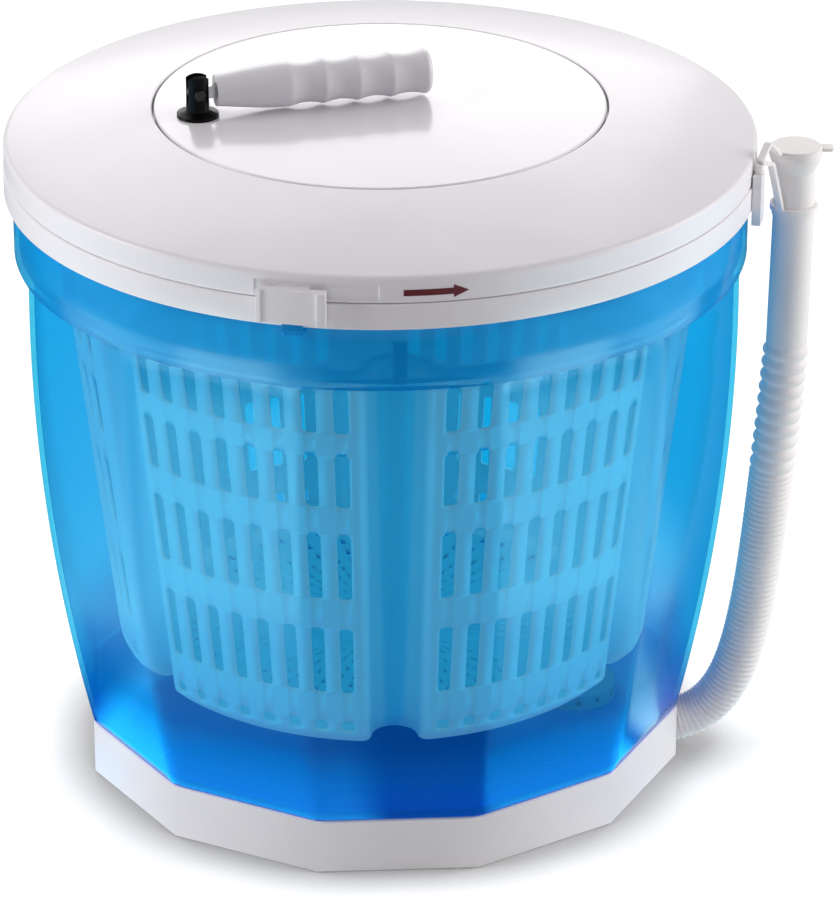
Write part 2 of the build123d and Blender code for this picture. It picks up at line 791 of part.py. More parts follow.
def lid_under(radius):
    """Height of the underside of the lid's slope at a radius."""
    return lid_shoulder_z + (lid_radius - radius) * lid_fall - lid_wall


# Lid cover: rim, slope up to the turntable opening, screw bosses, and a slot for each latch
latch_slots = []
for turn in (0, 180):
    slot_start = latch_angle + turn - latch_neck_span / 2 - moving_clearance
    latch_slots.append(arc_block(
        lid_radius - 2 * lid_wall, lid_radius + overrun, slot_start,
        latch_neck_span + latch_travel + 2 * moving_clearance,
        lid_bottom_z + latch_slot_lift, latch_neck_height + 2 * running_clearance))
with BuildPart() as lid_cover:
    with BuildSketch(Plane.XZ):
        with BuildLine():
            Polyline(
                (lid_radius - lid_wall, lid_bottom_z),
                (lid_radius, lid_bottom_z),
                (lid_radius, lid_shoulder_z - lid_shoulder),
                (lid_radius - lid_shoulder, lid_shoulder_z + lid_shoulder * lid_fall),
                (lid_opening_radius, lid_top_z),
                (lid_opening_radius, lid_top_z - lid_wall),
                (lid_radius - lid_wall, lid_under(lid_radius - lid_wall)),
                close=True,
            )
        make_face()
    revolve(axis=Axis.Z)
    seal_outer_radius = lid_radius - seal_outset
    with BuildSketch(Plane.XZ):
        with BuildLine():
            Polyline(
                (seal_outer_radius, lid_bottom_z + seal_height),
                (seal_outer_radius, lid_under(seal_outer_radius) + lid_wall / 2),
                (seal_outer_radius - seal_width, lid_under(seal_outer_radius - seal_width) + lid_wall / 2),
                (seal_outer_radius - seal_width, lid_bottom_z + seal_height),
                close=True,
            )
        make_face()
    revolve(axis=Axis.Z)
    with BuildSketch(Plane.XY.offset(plate_top_z)):
        with PolarLocations(lid_boss_circle, lid_boss_count):
            Circle(lid_boss_radius)
    extrude(amount=lid_under(lid_boss_circle) + lid_wall / 2 - plate_top_z)
    with BuildSketch(Plane.XY.offset(plate_top_z)):
        with PolarLocations(lid_boss_circle, lid_boss_count):
            Circle(screw_radius)
    extrude(amount=plate_rim_height, mode=Mode.SUBTRACT)
    for slot in latch_slots:
        add(slot, mode=Mode.SUBTRACT)

# Rubber ring that seals the lid on the collar
with BuildPart() as lid_seal:
    with BuildSketch(Plane.XY.offset(lid_bottom_z - seal_squeeze)):
        Circle(seal_outer_radius)
        Circle(seal_outer_radius - seal_width, mode=Mode.SUBTRACT)
    extrude(amount=seal_height + seal_squeeze)

# Gear plate under the lid: its rim carries the turntable, its bosses the planet gears
shaft_bore_radius = shaft_radius + running_clearance
bush_radius = shaft_bore_radius + bush_wall
with BuildPart() as gear_plate:
    with BuildSketch(Plane.XY.offset(plate_under_z)):
        Circle(plate_radius)
    extrude(amount=plate_thickness)
    with BuildSketch(Plane.XY.offset(plate_top_z)):
        Circle(flange_radius)
        Circle(skirt_radius + moving_clearance * 2, mode=Mode.SUBTRACT)
    extrude(amount=plate_rim_height)
    with BuildSketch(Plane.XY.offset(plate_under_z - bush_drop)):
        Circle(bush_radius + shaft_boss_wall)
    extrude(amount=bush_drop)
    with BuildSketch(Plane.XY.offset(plate_top_z)):
        with PolarLocations(planet_circle, planet_count, start_angle=planet_start_angle):
            Circle(pin_boss_radius)
    extrude(amount=pin_boss_height - running_clearance)
    with BuildSketch(Plane.XY.offset(plate_under_z - bush_drop)):
        Circle(bush_radius)
    extrude(amount=bush_drop + plate_thickness, mode=Mode.SUBTRACT)
    with BuildSketch(Plane.XY.offset(plate_under_z)):
        with PolarLocations(planet_circle, planet_count, start_angle=planet_start_angle):
            Circle(pin_radius)
        with PolarLocations(lid_boss_circle, lid_boss_count):
            Circle(screw_radius + fit_clearance)
    extrude(amount=plate_thickness + pin_boss_height, mode=Mode.SUBTRACT)

# Screws that hold the gear plate under the lid
with BuildPart() as plate_screws:
    with BuildSketch(Plane.XY.offset(plate_under_z - screw_head_height)):
        with PolarLocations(lid_boss_circle, lid_boss_count):
            Circle(screw_head_radius)
    extrude(amount=screw_head_height)
    with BuildSketch(Plane.XY.offset(plate_under_z)):
        with PolarLocations(lid_boss_circle, lid_boss_count):
            Circle(screw_radius)
    extrude(amount=plate_thickness + plate_rim_height - edge_break)

# Steel pins of the planet gears, with a head that keeps each gear down
with BuildPart() as planet_pins:
    with BuildSketch(Plane.XY.offset(plate_under_z)):
        with PolarLocations(planet_circle, planet_count, start_angle=planet_start_angle):
            Circle(pin_radius)
    extrude(amount=gear_top_z + running_clearance - plate_under_z)
    with BuildSketch(Plane.XY.offset(gear_top_z + running_clearance)):
        with PolarLocations(planet_circle, planet_count, start_angle=planet_start_angle):
            Circle(pin_boss_radius)
    extrude(amount=pin_head_height)

# Flanged bush of the drive shaft
with BuildPart() as shaft_bush:
    with BuildSketch(Plane.XY.offset(plate_under_z - bush_drop)):
        Circle(bush_radius)
    extrude(amount=bush_drop + plate_thickness)
    with BuildSketch(Plane.XY.offset(plate_top_z)):
        Circle(bush_radius + bush_flange)
    extrude(amount=bush_flange_height)
    with BuildSketch(Plane.XY.offset(plate_under_z - bush_drop)):
        Circle(shaft_bore_radius)
    extrude(amount=bush_drop + plate_thickness + bush_flange_height, mode=Mode.SUBTRACT)

# Slippery ring that the flange of the turntable slides on
with BuildPart() as slide_ring:
    with BuildSketch(Plane.XY.offset(slide_ring_z)):
        Circle(flange_radius)
        Circle(skirt_radius + moving_clearance * 2, mode=Mode.SUBTRACT)
    extrude(amount=slide_ring_height)

# Turntable: disc, skirt with a flange trapped under the lid, and the rib that carries the ring gear
with BuildPart() as turntable:
    with BuildSketch(Plane.XZ):
        with BuildLine():
            Polyline(
                (0, turntable_under_z),
                (0, lid_top_z),
                (turntable_radius - edge_break, lid_top_z),
                (turntable_radius, lid_top_z - edge_break),
                (turntable_radius, turntable_under_z),
                close=True,
            )
        make_face()
    revolve(axis=Axis.Z)
    with BuildSketch(Plane.XY.offset(turntable_under_z - skirt_drop)):
        Circle(skirt_radius)
        Circle(skirt_radius - skirt_wall, mode=Mode.SUBTRACT)
    extrude(amount=skirt_drop)
    with BuildSketch(Plane.XY.offset(flange_under_z)):
        Circle(flange_radius)
        Circle(skirt_radius - skirt_wall, mode=Mode.SUBTRACT)
    extrude(amount=flange_thickness)
    with BuildSketch(Plane.XY.offset(gear_top_z)):
        Circle(ring_outer_radius)
        Circle(ring_outer_radius - ring_rib_width, mode=Mode.SUBTRACT)
    extrude(amount=turntable_under_z - gear_top_z)
    with BuildSketch(Plane.XY.offset(turntable_under_z)):
        with Locations((post_x, post_y)):
            Circle(post_stem_radius + running_clearance)
    extrude(amount=turntable_thickness, mode=Mode.SUBTRACT)
    with BuildSketch(Plane.XY.offset(gear_top_z)):
        with PolarLocations(ring_screw_circle, lid_boss_count, start_angle=ring_screw_start_angle):
            Circle(screw_radius)
    extrude(amount=turntable_under_z - gear_top_z, mode=Mode.SUBTRACT)

# Internal ring gear, screwed under the turntable
tooth_width = pi * gear_module / 2
ring_tip_radius = ring_pitch_radius - gear_module
ring_spaces = tooth_points(ring_teeth, tooth_width + gear_backlash, ring_tip_radius, ring_root_radius, 0.0)
with BuildPart() as ring_gear:
    with BuildSketch(Plane.XY.offset(gear_bottom_z)):
        Circle(ring_outer_radius)
        with BuildLine():
            Polyline(*ring_spaces, close=True)
        make_face(mode=Mode.SUBTRACT)
    extrude(amount=gear_height)
    with BuildSketch(Plane.XY.offset(gear_bottom_z)):
        with PolarLocations(ring_screw_circle, lid_boss_count, start_angle=ring_screw_start_angle):
            Circle(screw_radius + fit_clearance)
    extrude(amount=gear_height, mode=Mode.SUBTRACT)
    with BuildSketch(Plane.XY.offset(gear_bottom_z)):
        with PolarLocations(ring_screw_circle, lid_boss_count, start_angle=ring_screw_start_angle):
            Circle(screw_head_radius + fit_clearance)
    extrude(amount=screw_head_height, mode=Mode.SUBTRACT)

# Screws of the ring gear
with BuildPart() as ring_gear_screws:
    with BuildSketch(Plane.XY.offset(gear_bottom_z)):
        with PolarLocations(ring_screw_circle, lid_boss_count, start_angle=ring_screw_start_angle):
            Circle(screw_head_radius)
    extrude(amount=screw_head_height)
    with BuildSketch(Plane.XY.offset(gear_bottom_z + screw_head_height)):
        with PolarLocations(ring_screw_circle, lid_boss_count, start_angle=ring_screw_start_angle):
            Circle(screw_radius)
    extrude(amount=turntable_under_z - gear_bottom_z - screw_head_height)

# Three planet gears and the sun gear between them
spur_root = planet_pitch_radius - gear_module * dedendum_share
spur_tip = planet_pitch_radius + gear_module
planets = []
for index in range(planet_count):
    planet_angle = planet_start_angle + 360.0 / planet_count * index
    planet_plane = Plane(origin=polar(planet_circle, planet_angle, gear_bottom_z))
    with BuildPart() as planet:
        with BuildSketch(planet_plane):
            with BuildLine():
                Polyline(*tooth_points(planet_teeth, tooth_width - gear_backlash, spur_root, spur_tip, 0.0),
                         close=True)
            make_face()
            Circle(pin_radius + running_clearance, mode=Mode.SUBTRACT)
        extrude(amount=gear_height)
    planets.append(planet)
sun_root = sun_pitch_radius - gear_module * dedendum_share
sun_tip = sun_pitch_radius + gear_module
with BuildPart() as sun_gear:
    with BuildSketch(Plane.XY.offset(gear_bottom_z)):
        with BuildLine():
            Polyline(*tooth_points(sun_teeth, tooth_width - gear_backlash, sun_root, sun_tip,
                                   180.0 / sun_teeth), close=True)
        make_face()
        Rectangle(shaft_square + running_clearance, shaft_square + running_clearance, mode=Mode.SUBTRACT)
    extrude(amount=gear_height)

# Drive shaft: square end in the sun gear, shoulder under the bush, hexagonal end in the spider
hex_bottom_z = spider_bottom_z + spider_floor + moving_clearance
shaft_hex_length = spider_top_z + shaft_hex_margin - hex_bottom_z
shoulder_top = plate_under_z - bush_drop - moving_clearance
with BuildPart() as drive_shaft:
    with BuildSketch(Plane.XY.offset(hex_bottom_z)):
        RegularPolygon(shaft_hex_flat / 2, hex_sides, major_radius=False)
    extrude(amount=shaft_hex_length)
    with BuildSketch(Plane.XY.offset(hex_bottom_z + shaft_hex_length)):
        Circle(shaft_radius)
    extrude(amount=gear_bottom_z - hex_bottom_z - shaft_hex_length)
    with BuildSketch(Plane.XY.offset(shoulder_top - shaft_shoulder_height)):
        Circle(shaft_shoulder_radius)
    extrude(amount=shaft_shoulder_height)
    with BuildSketch(Plane.XY.offset(gear_bottom_z)):
        Rectangle(shaft_square, shaft_square)
    extrude(amount=gear_height + clip_ring_height)

# Retaining ring over the sun gear
with BuildPart() as shaft_clip:
    with BuildSketch(Plane.XY.offset(gear_top_z)):
        Circle(shaft_square * sqrt(2) / 2 + clip_ring_width)
        Rectangle(shaft_square + running_clearance, shaft_square + running_clearance, mode=Mode.SUBTRACT)
    extrude(amount=clip_ring_height)


def basket_radius(z):
    """Outer radius of the basket at a height: a steep lower corner, then a slight taper."""
    if z < basket_corner_z:
        rise = (z - basket_bottom_z) / basket_corner_height
        return basket_bottom_radius + (basket_corner_radius - basket_bottom_radius) * rise
    rise = (z - basket_corner_z) / basket_side_height
    return basket_corner_radius + (basket_top_radius - basket_corner_radius) * rise


def fluted_section(z, inset):
    """Sketch of the basket's outline at a height: a circle with six round flutes, drawn in by inset."""
    radius = basket_radius(z)
    with BuildSketch(Plane.XY.offset(z)) as section:
        Circle(radius - inset)
        with PolarLocations(basket_top_radius * flute_place_share - basket_top_radius + radius,
                            flute_count, start_angle=flute_start_angle):
            Circle(basket_top_radius * flute_radius_share + inset, mode=Mode.SUBTRACT)
        fillet(section.vertices(), basket_top_radius * flute_fillet_share - inset)
    return section.sketch


def column_plane(angle):
    """Upright plane through the basket wall that faces outwards at an angle."""
    middle = (basket_corner_radius + basket_top_radius) / 2
    return Plane(origin=polar(middle, angle), x_dir=polar(1, angle + 90), z_dir=polar(1, angle))


# Basket: fluted shell with slots, floor, hub and ribs
columns = [
    360.0 / flute_count * panel + slot_pitch_angle * (column - (slot_columns - 1) / 2)
    for panel in range(flute_count)
    for column in range(slot_columns)
]
basket_bush_radius = pivot_radius + running_clearance + basket_bush_wall
basket_bush_z = hub_top_z + moving_clearance
basket_hub_z = basket_bush_z + basket_bush_flange_height
basket_hub_radius = basket_bush_radius + basket_hub_wall
basket_bush_top_z = hub_top_z + pivot_height + moving_clearance
basket_hub_height = basket_bush_top_z + basket_floor - basket_hub_z
ledge_reach = basket_radius(arm_bottom_z) - basket_top_radius * (1 - flute_place_share + flute_radius_share)
ledge_face = ledge_reach - basket_wall + ledge_sink
ledge_screw_circle = ledge_face - ledge_length / 2 - ledge_sink
with BuildPart() as basket:
    loft(sections=[fluted_section(z, 0) for z in (basket_bottom_z, basket_corner_z, basket_rim_z)],
         ruled=True)
    with BuildSketch(Plane.XY.offset(basket_rim_z - basket_rim_height)):
        add(fluted_section(basket_rim_z, -basket_rim_lip).moved(Location((0, 0, -basket_rim_z))))
    extrude(amount=basket_rim_height)
    loft(sections=[fluted_section(z, basket_wall) for z in (basket_floor_z, basket_corner_z, basket_rim_z)],
         ruled=True, mode=Mode.SUBTRACT)
    with BuildSketch(*[column_plane(angle) for angle in columns]):
        for low, length in slot_rows:
            with Locations((0, basket_bottom_z + low + length / 2)):
                Rectangle(slot_width, length)
    extrude(amount=slot_reach, both=True, mode=Mode.SUBTRACT)
    with BuildSketch(Plane.XY.offset(basket_bottom_z)):
        for ring in range(floor_slot_rings):
            with PolarLocations(floor_slot_first + floor_slot_pitch * ring, flute_count * (ring + 2)):
                SlotOverall(floor_slot_length, floor_slot_width)
    extrude(amount=basket_floor, mode=Mode.SUBTRACT)
    with BuildSketch(Plane.XY.offset(basket_hub_z)):
        Circle(basket_hub_radius)
    extrude(amount=basket_hub_height)
    with BuildSketch(Plane.XY.offset(basket_bottom_z - hub_rib_depth)):
        with PolarLocations(basket_hub_radius + hub_rib_length / 2 - edge_break, flute_count,
                            start_angle=flute_start_angle):
            Rectangle(hub_rib_length, hub_rib_thickness)
    extrude(amount=hub_rib_depth)
    with BuildSketch(Plane.XY.offset(basket_hub_z)):
        Circle(basket_bush_radius)
    extrude(amount=basket_hub_height - basket_floor, mode=Mode.SUBTRACT)
    with BuildSketch(Plane.XY.offset(arm_bottom_z - ledge_height)):
        with PolarLocations(ledge_face - ledge_length / 2, spider_arm_count, start_angle=arm_start_angle):
            Rectangle(ledge_length, ledge_width)
    extrude(amount=ledge_height)
    with BuildSketch(Plane.XY.offset(arm_bottom_z - ledge_height)):
        with PolarLocations(ledge_screw_circle, spider_arm_count, start_angle=arm_start_angle):
            Circle(screw_radius)
    extrude(amount=ledge_height, mode=Mode.SUBTRACT)

# Bush in the basket's hub, on the pivot pin
with BuildPart() as basket_bush:
    with BuildSketch(Plane.XY.offset(basket_bush_z)):
        Circle(basket_bush_radius + basket_bush_flange)
    extrude(amount=basket_bush_flange_height)
    with BuildSketch(Plane.XY.offset(basket_hub_z)):
        Circle(basket_bush_radius)
    extrude(amount=basket_hub_height - basket_floor)
    with BuildSketch(Plane.XY.offset(basket_bush_z)):
        Circle(pivot_radius + running_clearance)
    extrude(amount=basket_bush_top_z - basket_bush_z, mode=Mode.SUBTRACT)

# Spider across the mouth of the basket, with the hexagonal socket of the drive shaft
arm_reach = ledge_face - ledge_sink - moving_clearance
with BuildPart() as drive_spider:
    with BuildSketch(Plane.XY.offset(spider_bottom_z)):
        Circle(spider_hub_radius)
    extrude(amount=spider_hub_height)
    with BuildSketch(Plane.XY.offset(arm_bottom_z)):
        with PolarLocations(arm_reach / 2, spider_arm_count, start_angle=arm_start_angle):
            Rectangle(arm_reach, spider_arm_width)
    extrude(amount=spider_arm_height)
    with BuildSketch(Plane.XY.offset(spider_bottom_z + spider_floor)):
        RegularPolygon(shaft_hex_flat / 2 + moving_clearance, hex_sides, major_radius=False)
    extrude(amount=spider_hub_height - spider_floor, mode=Mode.SUBTRACT)
    with BuildSketch(Plane.XY.offset(arm_bottom_z)):
        with PolarLocations(ledge_screw_circle, spider_arm_count, start_angle=arm_start_angle):
            Circle(screw_radius + fit_clearance)
    extrude(amount=spider_arm_height, mode=Mode.SUBTRACT)

# Screws of the spider
with BuildPart() as spider_screws:
    with BuildSketch(Plane.XY.offset(arm_bottom_z - ledge_height + edge_break)):
        with PolarLocations(ledge_screw_circle, spider_arm_count, start_angle=arm_start_angle):
            Circle(screw_radius)
    extrude(amount=ledge_height + spider_arm_height - edge_break)
    with BuildSketch(Plane.XY.offset(arm_top_z)):
        with PolarLocations(ledge_screw_circle, spider_arm_count, start_angle=arm_start_angle):
            Circle(screw_head_radius)
    extrude(amount=screw_head_height)

# Handle post: a domed clevis with a round foot and a stem through the turntable
grip_angle = handle_angle - 180 + grip_skew
slot_plane = Plane(origin=(post_x, post_y, hinge_z), x_dir=polar(1, grip_angle),
                   z_dir=polar(1, grip_angle - 90))
dome_side_z = hinge_z + sqrt(post_dome_radius ** 2 - post_radius ** 2)
dome_middle = (post_dome_radius * sin(radians(dome_bow_angle)),
               hinge_z + post_dome_radius * cos(radians(dome_bow_angle)))
with BuildPart() as post_blank:
    with BuildSketch(Plane.XZ):
        with BuildLine():
            Polyline(
                (0, lid_top_z - post_stem_length),
                (post_stem_radius, lid_top_z - post_stem_length),
                (post_stem_radius, lid_top_z),
                (post_flange_radius, lid_top_z),
                (post_flange_radius, lid_top_z + post_flange_height),
                (post_radius, lid_top_z + post_flange_height + post_cone_height),
                (post_radius, dome_side_z),
            )
            ThreePointArc((post_radius, dome_side_z), dome_middle, (0, hinge_z + post_dome_radius))
            Line((0, hinge_z + post_dome_radius), (0, lid_top_z - post_stem_length))
        make_face()
    revolve(axis=Axis.Z)
with BuildPart() as handle_post:
    add(post_blank.part.moved(Location((post_x, post_y, 0))))
    with BuildSketch(slot_plane):
        with Locations((0, overrun)):
            Rectangle(2 * (post_radius + overrun), 2 * (eye_radius + moving_clearance + overrun))
    extrude(amount=post_slot_width / 2, both=True, mode=Mode.SUBTRACT)
    with BuildSketch(slot_plane):
        Circle(hinge_radius)
    extrude(amount=2 * post_radius, both=True, mode=Mode.SUBTRACT)

# Nut under the turntable on the stem of the post
with BuildPart() as post_nut:
    with BuildSketch(Plane.XY.offset(turntable_under_z - post_nut_height)):
        with Locations((post_x, post_y)):
            RegularPolygon(post_nut_flat / 2, hex_sides, major_radius=False)
            Circle(post_stem_radius, mode=Mode.SUBTRACT)
    extrude(amount=post_nut_height)

# Hinge pin through the post
with BuildPart() as hinge_pin:
    with BuildSketch(slot_plane):
        Circle(hinge_radius)
    extrude(amount=post_radius, both=True)
    with BuildSketch(slot_plane.offset(post_radius)):
        Circle(hinge_head_radius)
    extrude(amount=hinge_head_height)

# Spindle of the grip: a flat eye on the hinge pin, then a round rod
rod_plane = Plane(origin=(post_x, post_y, hinge_z), x_dir=(0, 0, 1), z_dir=polar(1, grip_angle))
eye_half = post_slot_width / 2 - moving_clearance
spindle_end = grip_end - grip_cap_thickness - grip_screw_head_height - fit_clearance
with BuildPart() as handle_spindle:
    with BuildSketch(slot_plane):
        Circle(eye_radius)
        with Locations((spindle_start / 2, 0)):
            Rectangle(spindle_start, 2 * spindle_radius)
    extrude(amount=eye_half, both=True)
    with BuildSketch(rod_plane.offset(spindle_start)):
        Circle(spindle_radius)
    extrude(amount=spindle_end - spindle_start)
    with BuildSketch(slot_plane):
        Circle(hinge_radius + running_clearance / 2)
    extrude(amount=eye_half, both=True, mode=Mode.SUBTRACT)
    with BuildSketch(rod_plane.offset(spindle_end)):
        Circle(screw_radius)
    extrude(amount=-grip_screw_length, mode=Mode.SUBTRACT)

# Screw and washer head that keep the grip on the spindle
with BuildPart() as grip_screw:
    with BuildSketch(rod_plane.offset(spindle_end)):
        Circle(grip_screw_head_radius)
    extrude(amount=grip_screw_head_height)
    with BuildSketch(rod_plane.offset(spindle_end)):
        Circle(screw_radius)
    extrude(amount=edge_break - grip_screw_length)

# Grip: neck, then finger scallops, turned about the spindle
neck_end = grip_start + grip_neck_length
scallop_length = (grip_end - grip_end_round - neck_end) / scallop_count
root_end = grip_start - 2 * edge_break
root_lip = (root_end, sqrt(grip_start ** 2 - root_end ** 2))
root_bow = ((grip_start + root_end) / 2, sqrt(grip_start ** 2 - ((grip_start + root_end) / 2) ** 2))
neck_rise = grip_crest_radius - grip_root_radius
neck_middle = ((root_end + neck_end) / 2, grip_root_radius + neck_rise * neck_bow_share)
with BuildPart() as grip:
    with BuildSketch(slot_plane):
        with BuildLine():
            ThreePointArc((grip_start, 0), root_bow, root_lip)
            Line(root_lip, (root_end, grip_root_radius))
            ThreePointArc((root_end, grip_root_radius), neck_middle, (neck_end, grip_crest_radius))
            for scallop in range(scallop_count):
                start = neck_end + scallop_length * scallop
                ThreePointArc((start, grip_crest_radius), (start + scallop_length / 2, grip_valley_radius),
                              (start + scallop_length, grip_crest_radius))
            Polyline((grip_end - grip_end_round, grip_crest_radius),
                     (grip_end, grip_crest_radius - grip_end_round), (grip_end, 0), (grip_start, 0))
        make_face()
    revolve(axis=Axis(origin=slot_plane.origin, direction=slot_plane.x_dir))
    with BuildSketch(rod_plane):
        Circle(spindle_radius + running_clearance)
    extrude(amount=grip_end, mode=Mode.SUBTRACT)
    with BuildSketch(rod_plane.offset(spindle_end - fit_clearance)):
        Circle(grip_screw_head_radius + fit_clearance)
    extrude(amount=grip_end - spindle_end + fit_clearance, mode=Mode.SUBTRACT)
    with BuildSketch(rod_plane.offset(grip_end - grip_cap_thickness)):
        Circle(grip_cap_radius)
    extrude(amount=grip_cap_thickness + overrun, mode=Mode.SUBTRACT)

# Cap that closes the end of the grip
with BuildPart() as grip_cap:
    with BuildSketch(rod_plane.offset(grip_end - grip_cap_thickness)):
        Circle(grip_cap_radius)
    extrude(amount=grip_cap_thickness)

# Two latches that slide round the rim of the lid
latches = []
for turn in (0, 180):
    centre = latch_angle + turn
    start = centre - latch_span / 2
    inner = latch_inner_radius
    outer = inner + latch_thickness
    latch_bottom_z = lid_bottom_z - latch_drop
    slot_z = lid_bottom_z + latch_slot_lift + running_clearance
    pocket = arc_block(inner - running_clearance, inner + latch_pocket_depth, start - lug_span,
                       lug_span + latch_span / 2 + lug_span / 2 + moving_clearance,
                       latch_bottom_z - overrun, latch_pocket_height + overrun)
    body = arc_block(inner, outer, start, latch_span, latch_bottom_z, latch_height)
    bar = arc_block(inner, outer + latch_bar_thickness, start + latch_span - latch_bar_span,
                    latch_bar_span, latch_bottom_z, latch_height)
    head_radius = lid_radius - lid_wall - moving_clearance
    neck = arc_block(head_radius - latch_head_thickness / 2, inner + latch_thickness / 2,
                     centre - latch_neck_span / 2, latch_neck_span, slot_z, latch_neck_height)
    head = arc_block(head_radius - latch_head_thickness, head_radius, centre - latch_neck_span / 2,
                     latch_neck_span, slot_z - (latch_head_height - latch_neck_height) / 2, latch_head_height)
    with BuildPart() as latch:
        add(body)
        add(bar)
        add(pocket, mode=Mode.SUBTRACT)
        add(neck)
        add(head)
    latches.append(latch)

# Names and files
named = {
    "base": base, "rubber_feet": rubber_feet, "base_screws": base_screws, "tub": tub,
    "pivot_pin": pivot_pin, "collar": collar, "drain_outlet": drain_outlet, "outlet_seal": outlet_seal,
    "outlet_nut": outlet_nut, "outlet_strainer": outlet_strainer, "drain_hose": drain_hose,
    "hose_connector": hose_connector, "drain_plug": drain_plug, "hose_hanger": hose_hanger,
    "hose_clip": hose_clip, "lid_cover": lid_cover, "lid_seal": lid_seal, "gear_plate": gear_plate,
    "plate_screws": plate_screws, "planet_pins": planet_pins, "shaft_bush": shaft_bush,
    "slide_ring": slide_ring, "turntable": turntable, "ring_gear": ring_gear,
    "ring_gear_screws": ring_gear_screws, "planet_gear_1": planets[0], "planet_gear_2": planets[1],
    "planet_gear_3": planets[2], "sun_gear": sun_gear, "drive_shaft": drive_shaft,
    "shaft_clip": shaft_clip, "basket": basket, "basket_bush": basket_bush,
    "drive_spider": drive_spider, "spider_screws": spider_screws, "handle_post": handle_post,
    "post_nut": post_nut, "hinge_pin": hinge_pin, "handle_spindle": handle_spindle,
    "grip_screw": grip_screw, "grip": grip, "grip_cap": grip_cap, "front_latch": latches[0],
    "rear_latch": latches[1],
}
for name, builder in named.items():
    finish(builder, name)
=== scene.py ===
"""Mini washing machine: the finish of every surface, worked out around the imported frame."""
import json
from math import atan2, cos, degrees, pi, radians, sin, sqrt

import bmesh
import bpy
import numpy as np
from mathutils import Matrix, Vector


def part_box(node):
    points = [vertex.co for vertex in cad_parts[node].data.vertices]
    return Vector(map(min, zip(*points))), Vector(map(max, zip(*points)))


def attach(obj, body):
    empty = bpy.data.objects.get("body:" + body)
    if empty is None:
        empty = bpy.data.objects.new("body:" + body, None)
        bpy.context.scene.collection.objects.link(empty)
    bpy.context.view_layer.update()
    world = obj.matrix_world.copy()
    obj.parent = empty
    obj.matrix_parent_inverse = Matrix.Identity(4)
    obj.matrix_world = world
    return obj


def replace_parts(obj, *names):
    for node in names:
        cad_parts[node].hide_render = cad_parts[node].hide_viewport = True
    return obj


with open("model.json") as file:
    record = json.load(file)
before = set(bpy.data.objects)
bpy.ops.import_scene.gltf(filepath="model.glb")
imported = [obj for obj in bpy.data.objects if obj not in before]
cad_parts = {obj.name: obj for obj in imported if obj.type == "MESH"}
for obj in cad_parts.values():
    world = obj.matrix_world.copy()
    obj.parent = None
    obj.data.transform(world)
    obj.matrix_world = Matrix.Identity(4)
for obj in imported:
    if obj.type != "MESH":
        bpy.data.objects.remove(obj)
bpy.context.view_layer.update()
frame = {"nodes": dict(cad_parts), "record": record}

MM = 0.001

# Places and sizes of the machine, in millimetres and degrees, read from the frame where a node gives them
tub_high = np.array(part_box("tub")[1]) / MM
collar_low, collar_high = (np.array(corner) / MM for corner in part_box("collar"))
lid_low, lid_high = (np.array(corner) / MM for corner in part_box("lid_cover"))
basket_high = np.array(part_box("basket")[1]) / MM
base_high = np.array(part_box("base")[1]) / MM

base_top = base_high[2]
tub_rim = tub_high[2]
band_radius = 176.5
band_bottom = tub_rim - 42.0
tub_wall = 2.5
tub_floor = 3.0
side_flat_low = 144.9
side_flat_high = 169.2
side_bulge = 7.5
side_count = 12
flute_count = 6
lid_top = lid_high[2]
lid_radius = lid_high[0]
opening_radius = 109.0
disc_radius = 108.0
grip_turn = 11.6
panel_radius_low = 131.0
panel_radius_high = 154.0
panel_bottom = 66.0
basket_bottom = 58.0
basket_rim = basket_high[2]
slot_rows = [(67.0, 73.5), (89.0, 126.0), (141.5, 178.0), (192.0, 221.0), (232.0, 256.0)]
basket_wall = 2.2
slot_half_angle = 1.36
slot_corner = 1.3
post_radius = 88.0
post_bearing = radians(188.0)
post_place = np.array([post_radius * cos(post_bearing), post_radius * sin(post_bearing), lid_top + 12.0])


# Shader sheets: one class wraps a socket and its arithmetic, the other makes the nodes
class Wire:
    """A value or colour that flows between nodes. Arithmetic on it adds Math nodes."""

    def __init__(self, sheet, socket):
        self.sheet = sheet
        self.socket = socket

    def combine(self, operation, left, right):
        made = self.sheet.node("ShaderNodeMath", {"operation": operation}, {0: left, 1: right})
        return self.sheet.out(made, 0)

    def __add__(self, other):
        return self.combine("ADD", self, other)

    def __radd__(self, other):
        return self.combine("ADD", other, self)

    def __sub__(self, other):
        return self.combine("SUBTRACT", self, other)

    def __rsub__(self, other):
        return self.combine("SUBTRACT", other, self)

    def __mul__(self, other):
        return self.combine("MULTIPLY", self, other)

    def __rmul__(self, other):
        return self.combine("MULTIPLY", other, self)

    def __truediv__(self, other):
        return self.combine("DIVIDE", self, other)

    def __pow__(self, other):
        return self.combine("POWER", self, other)


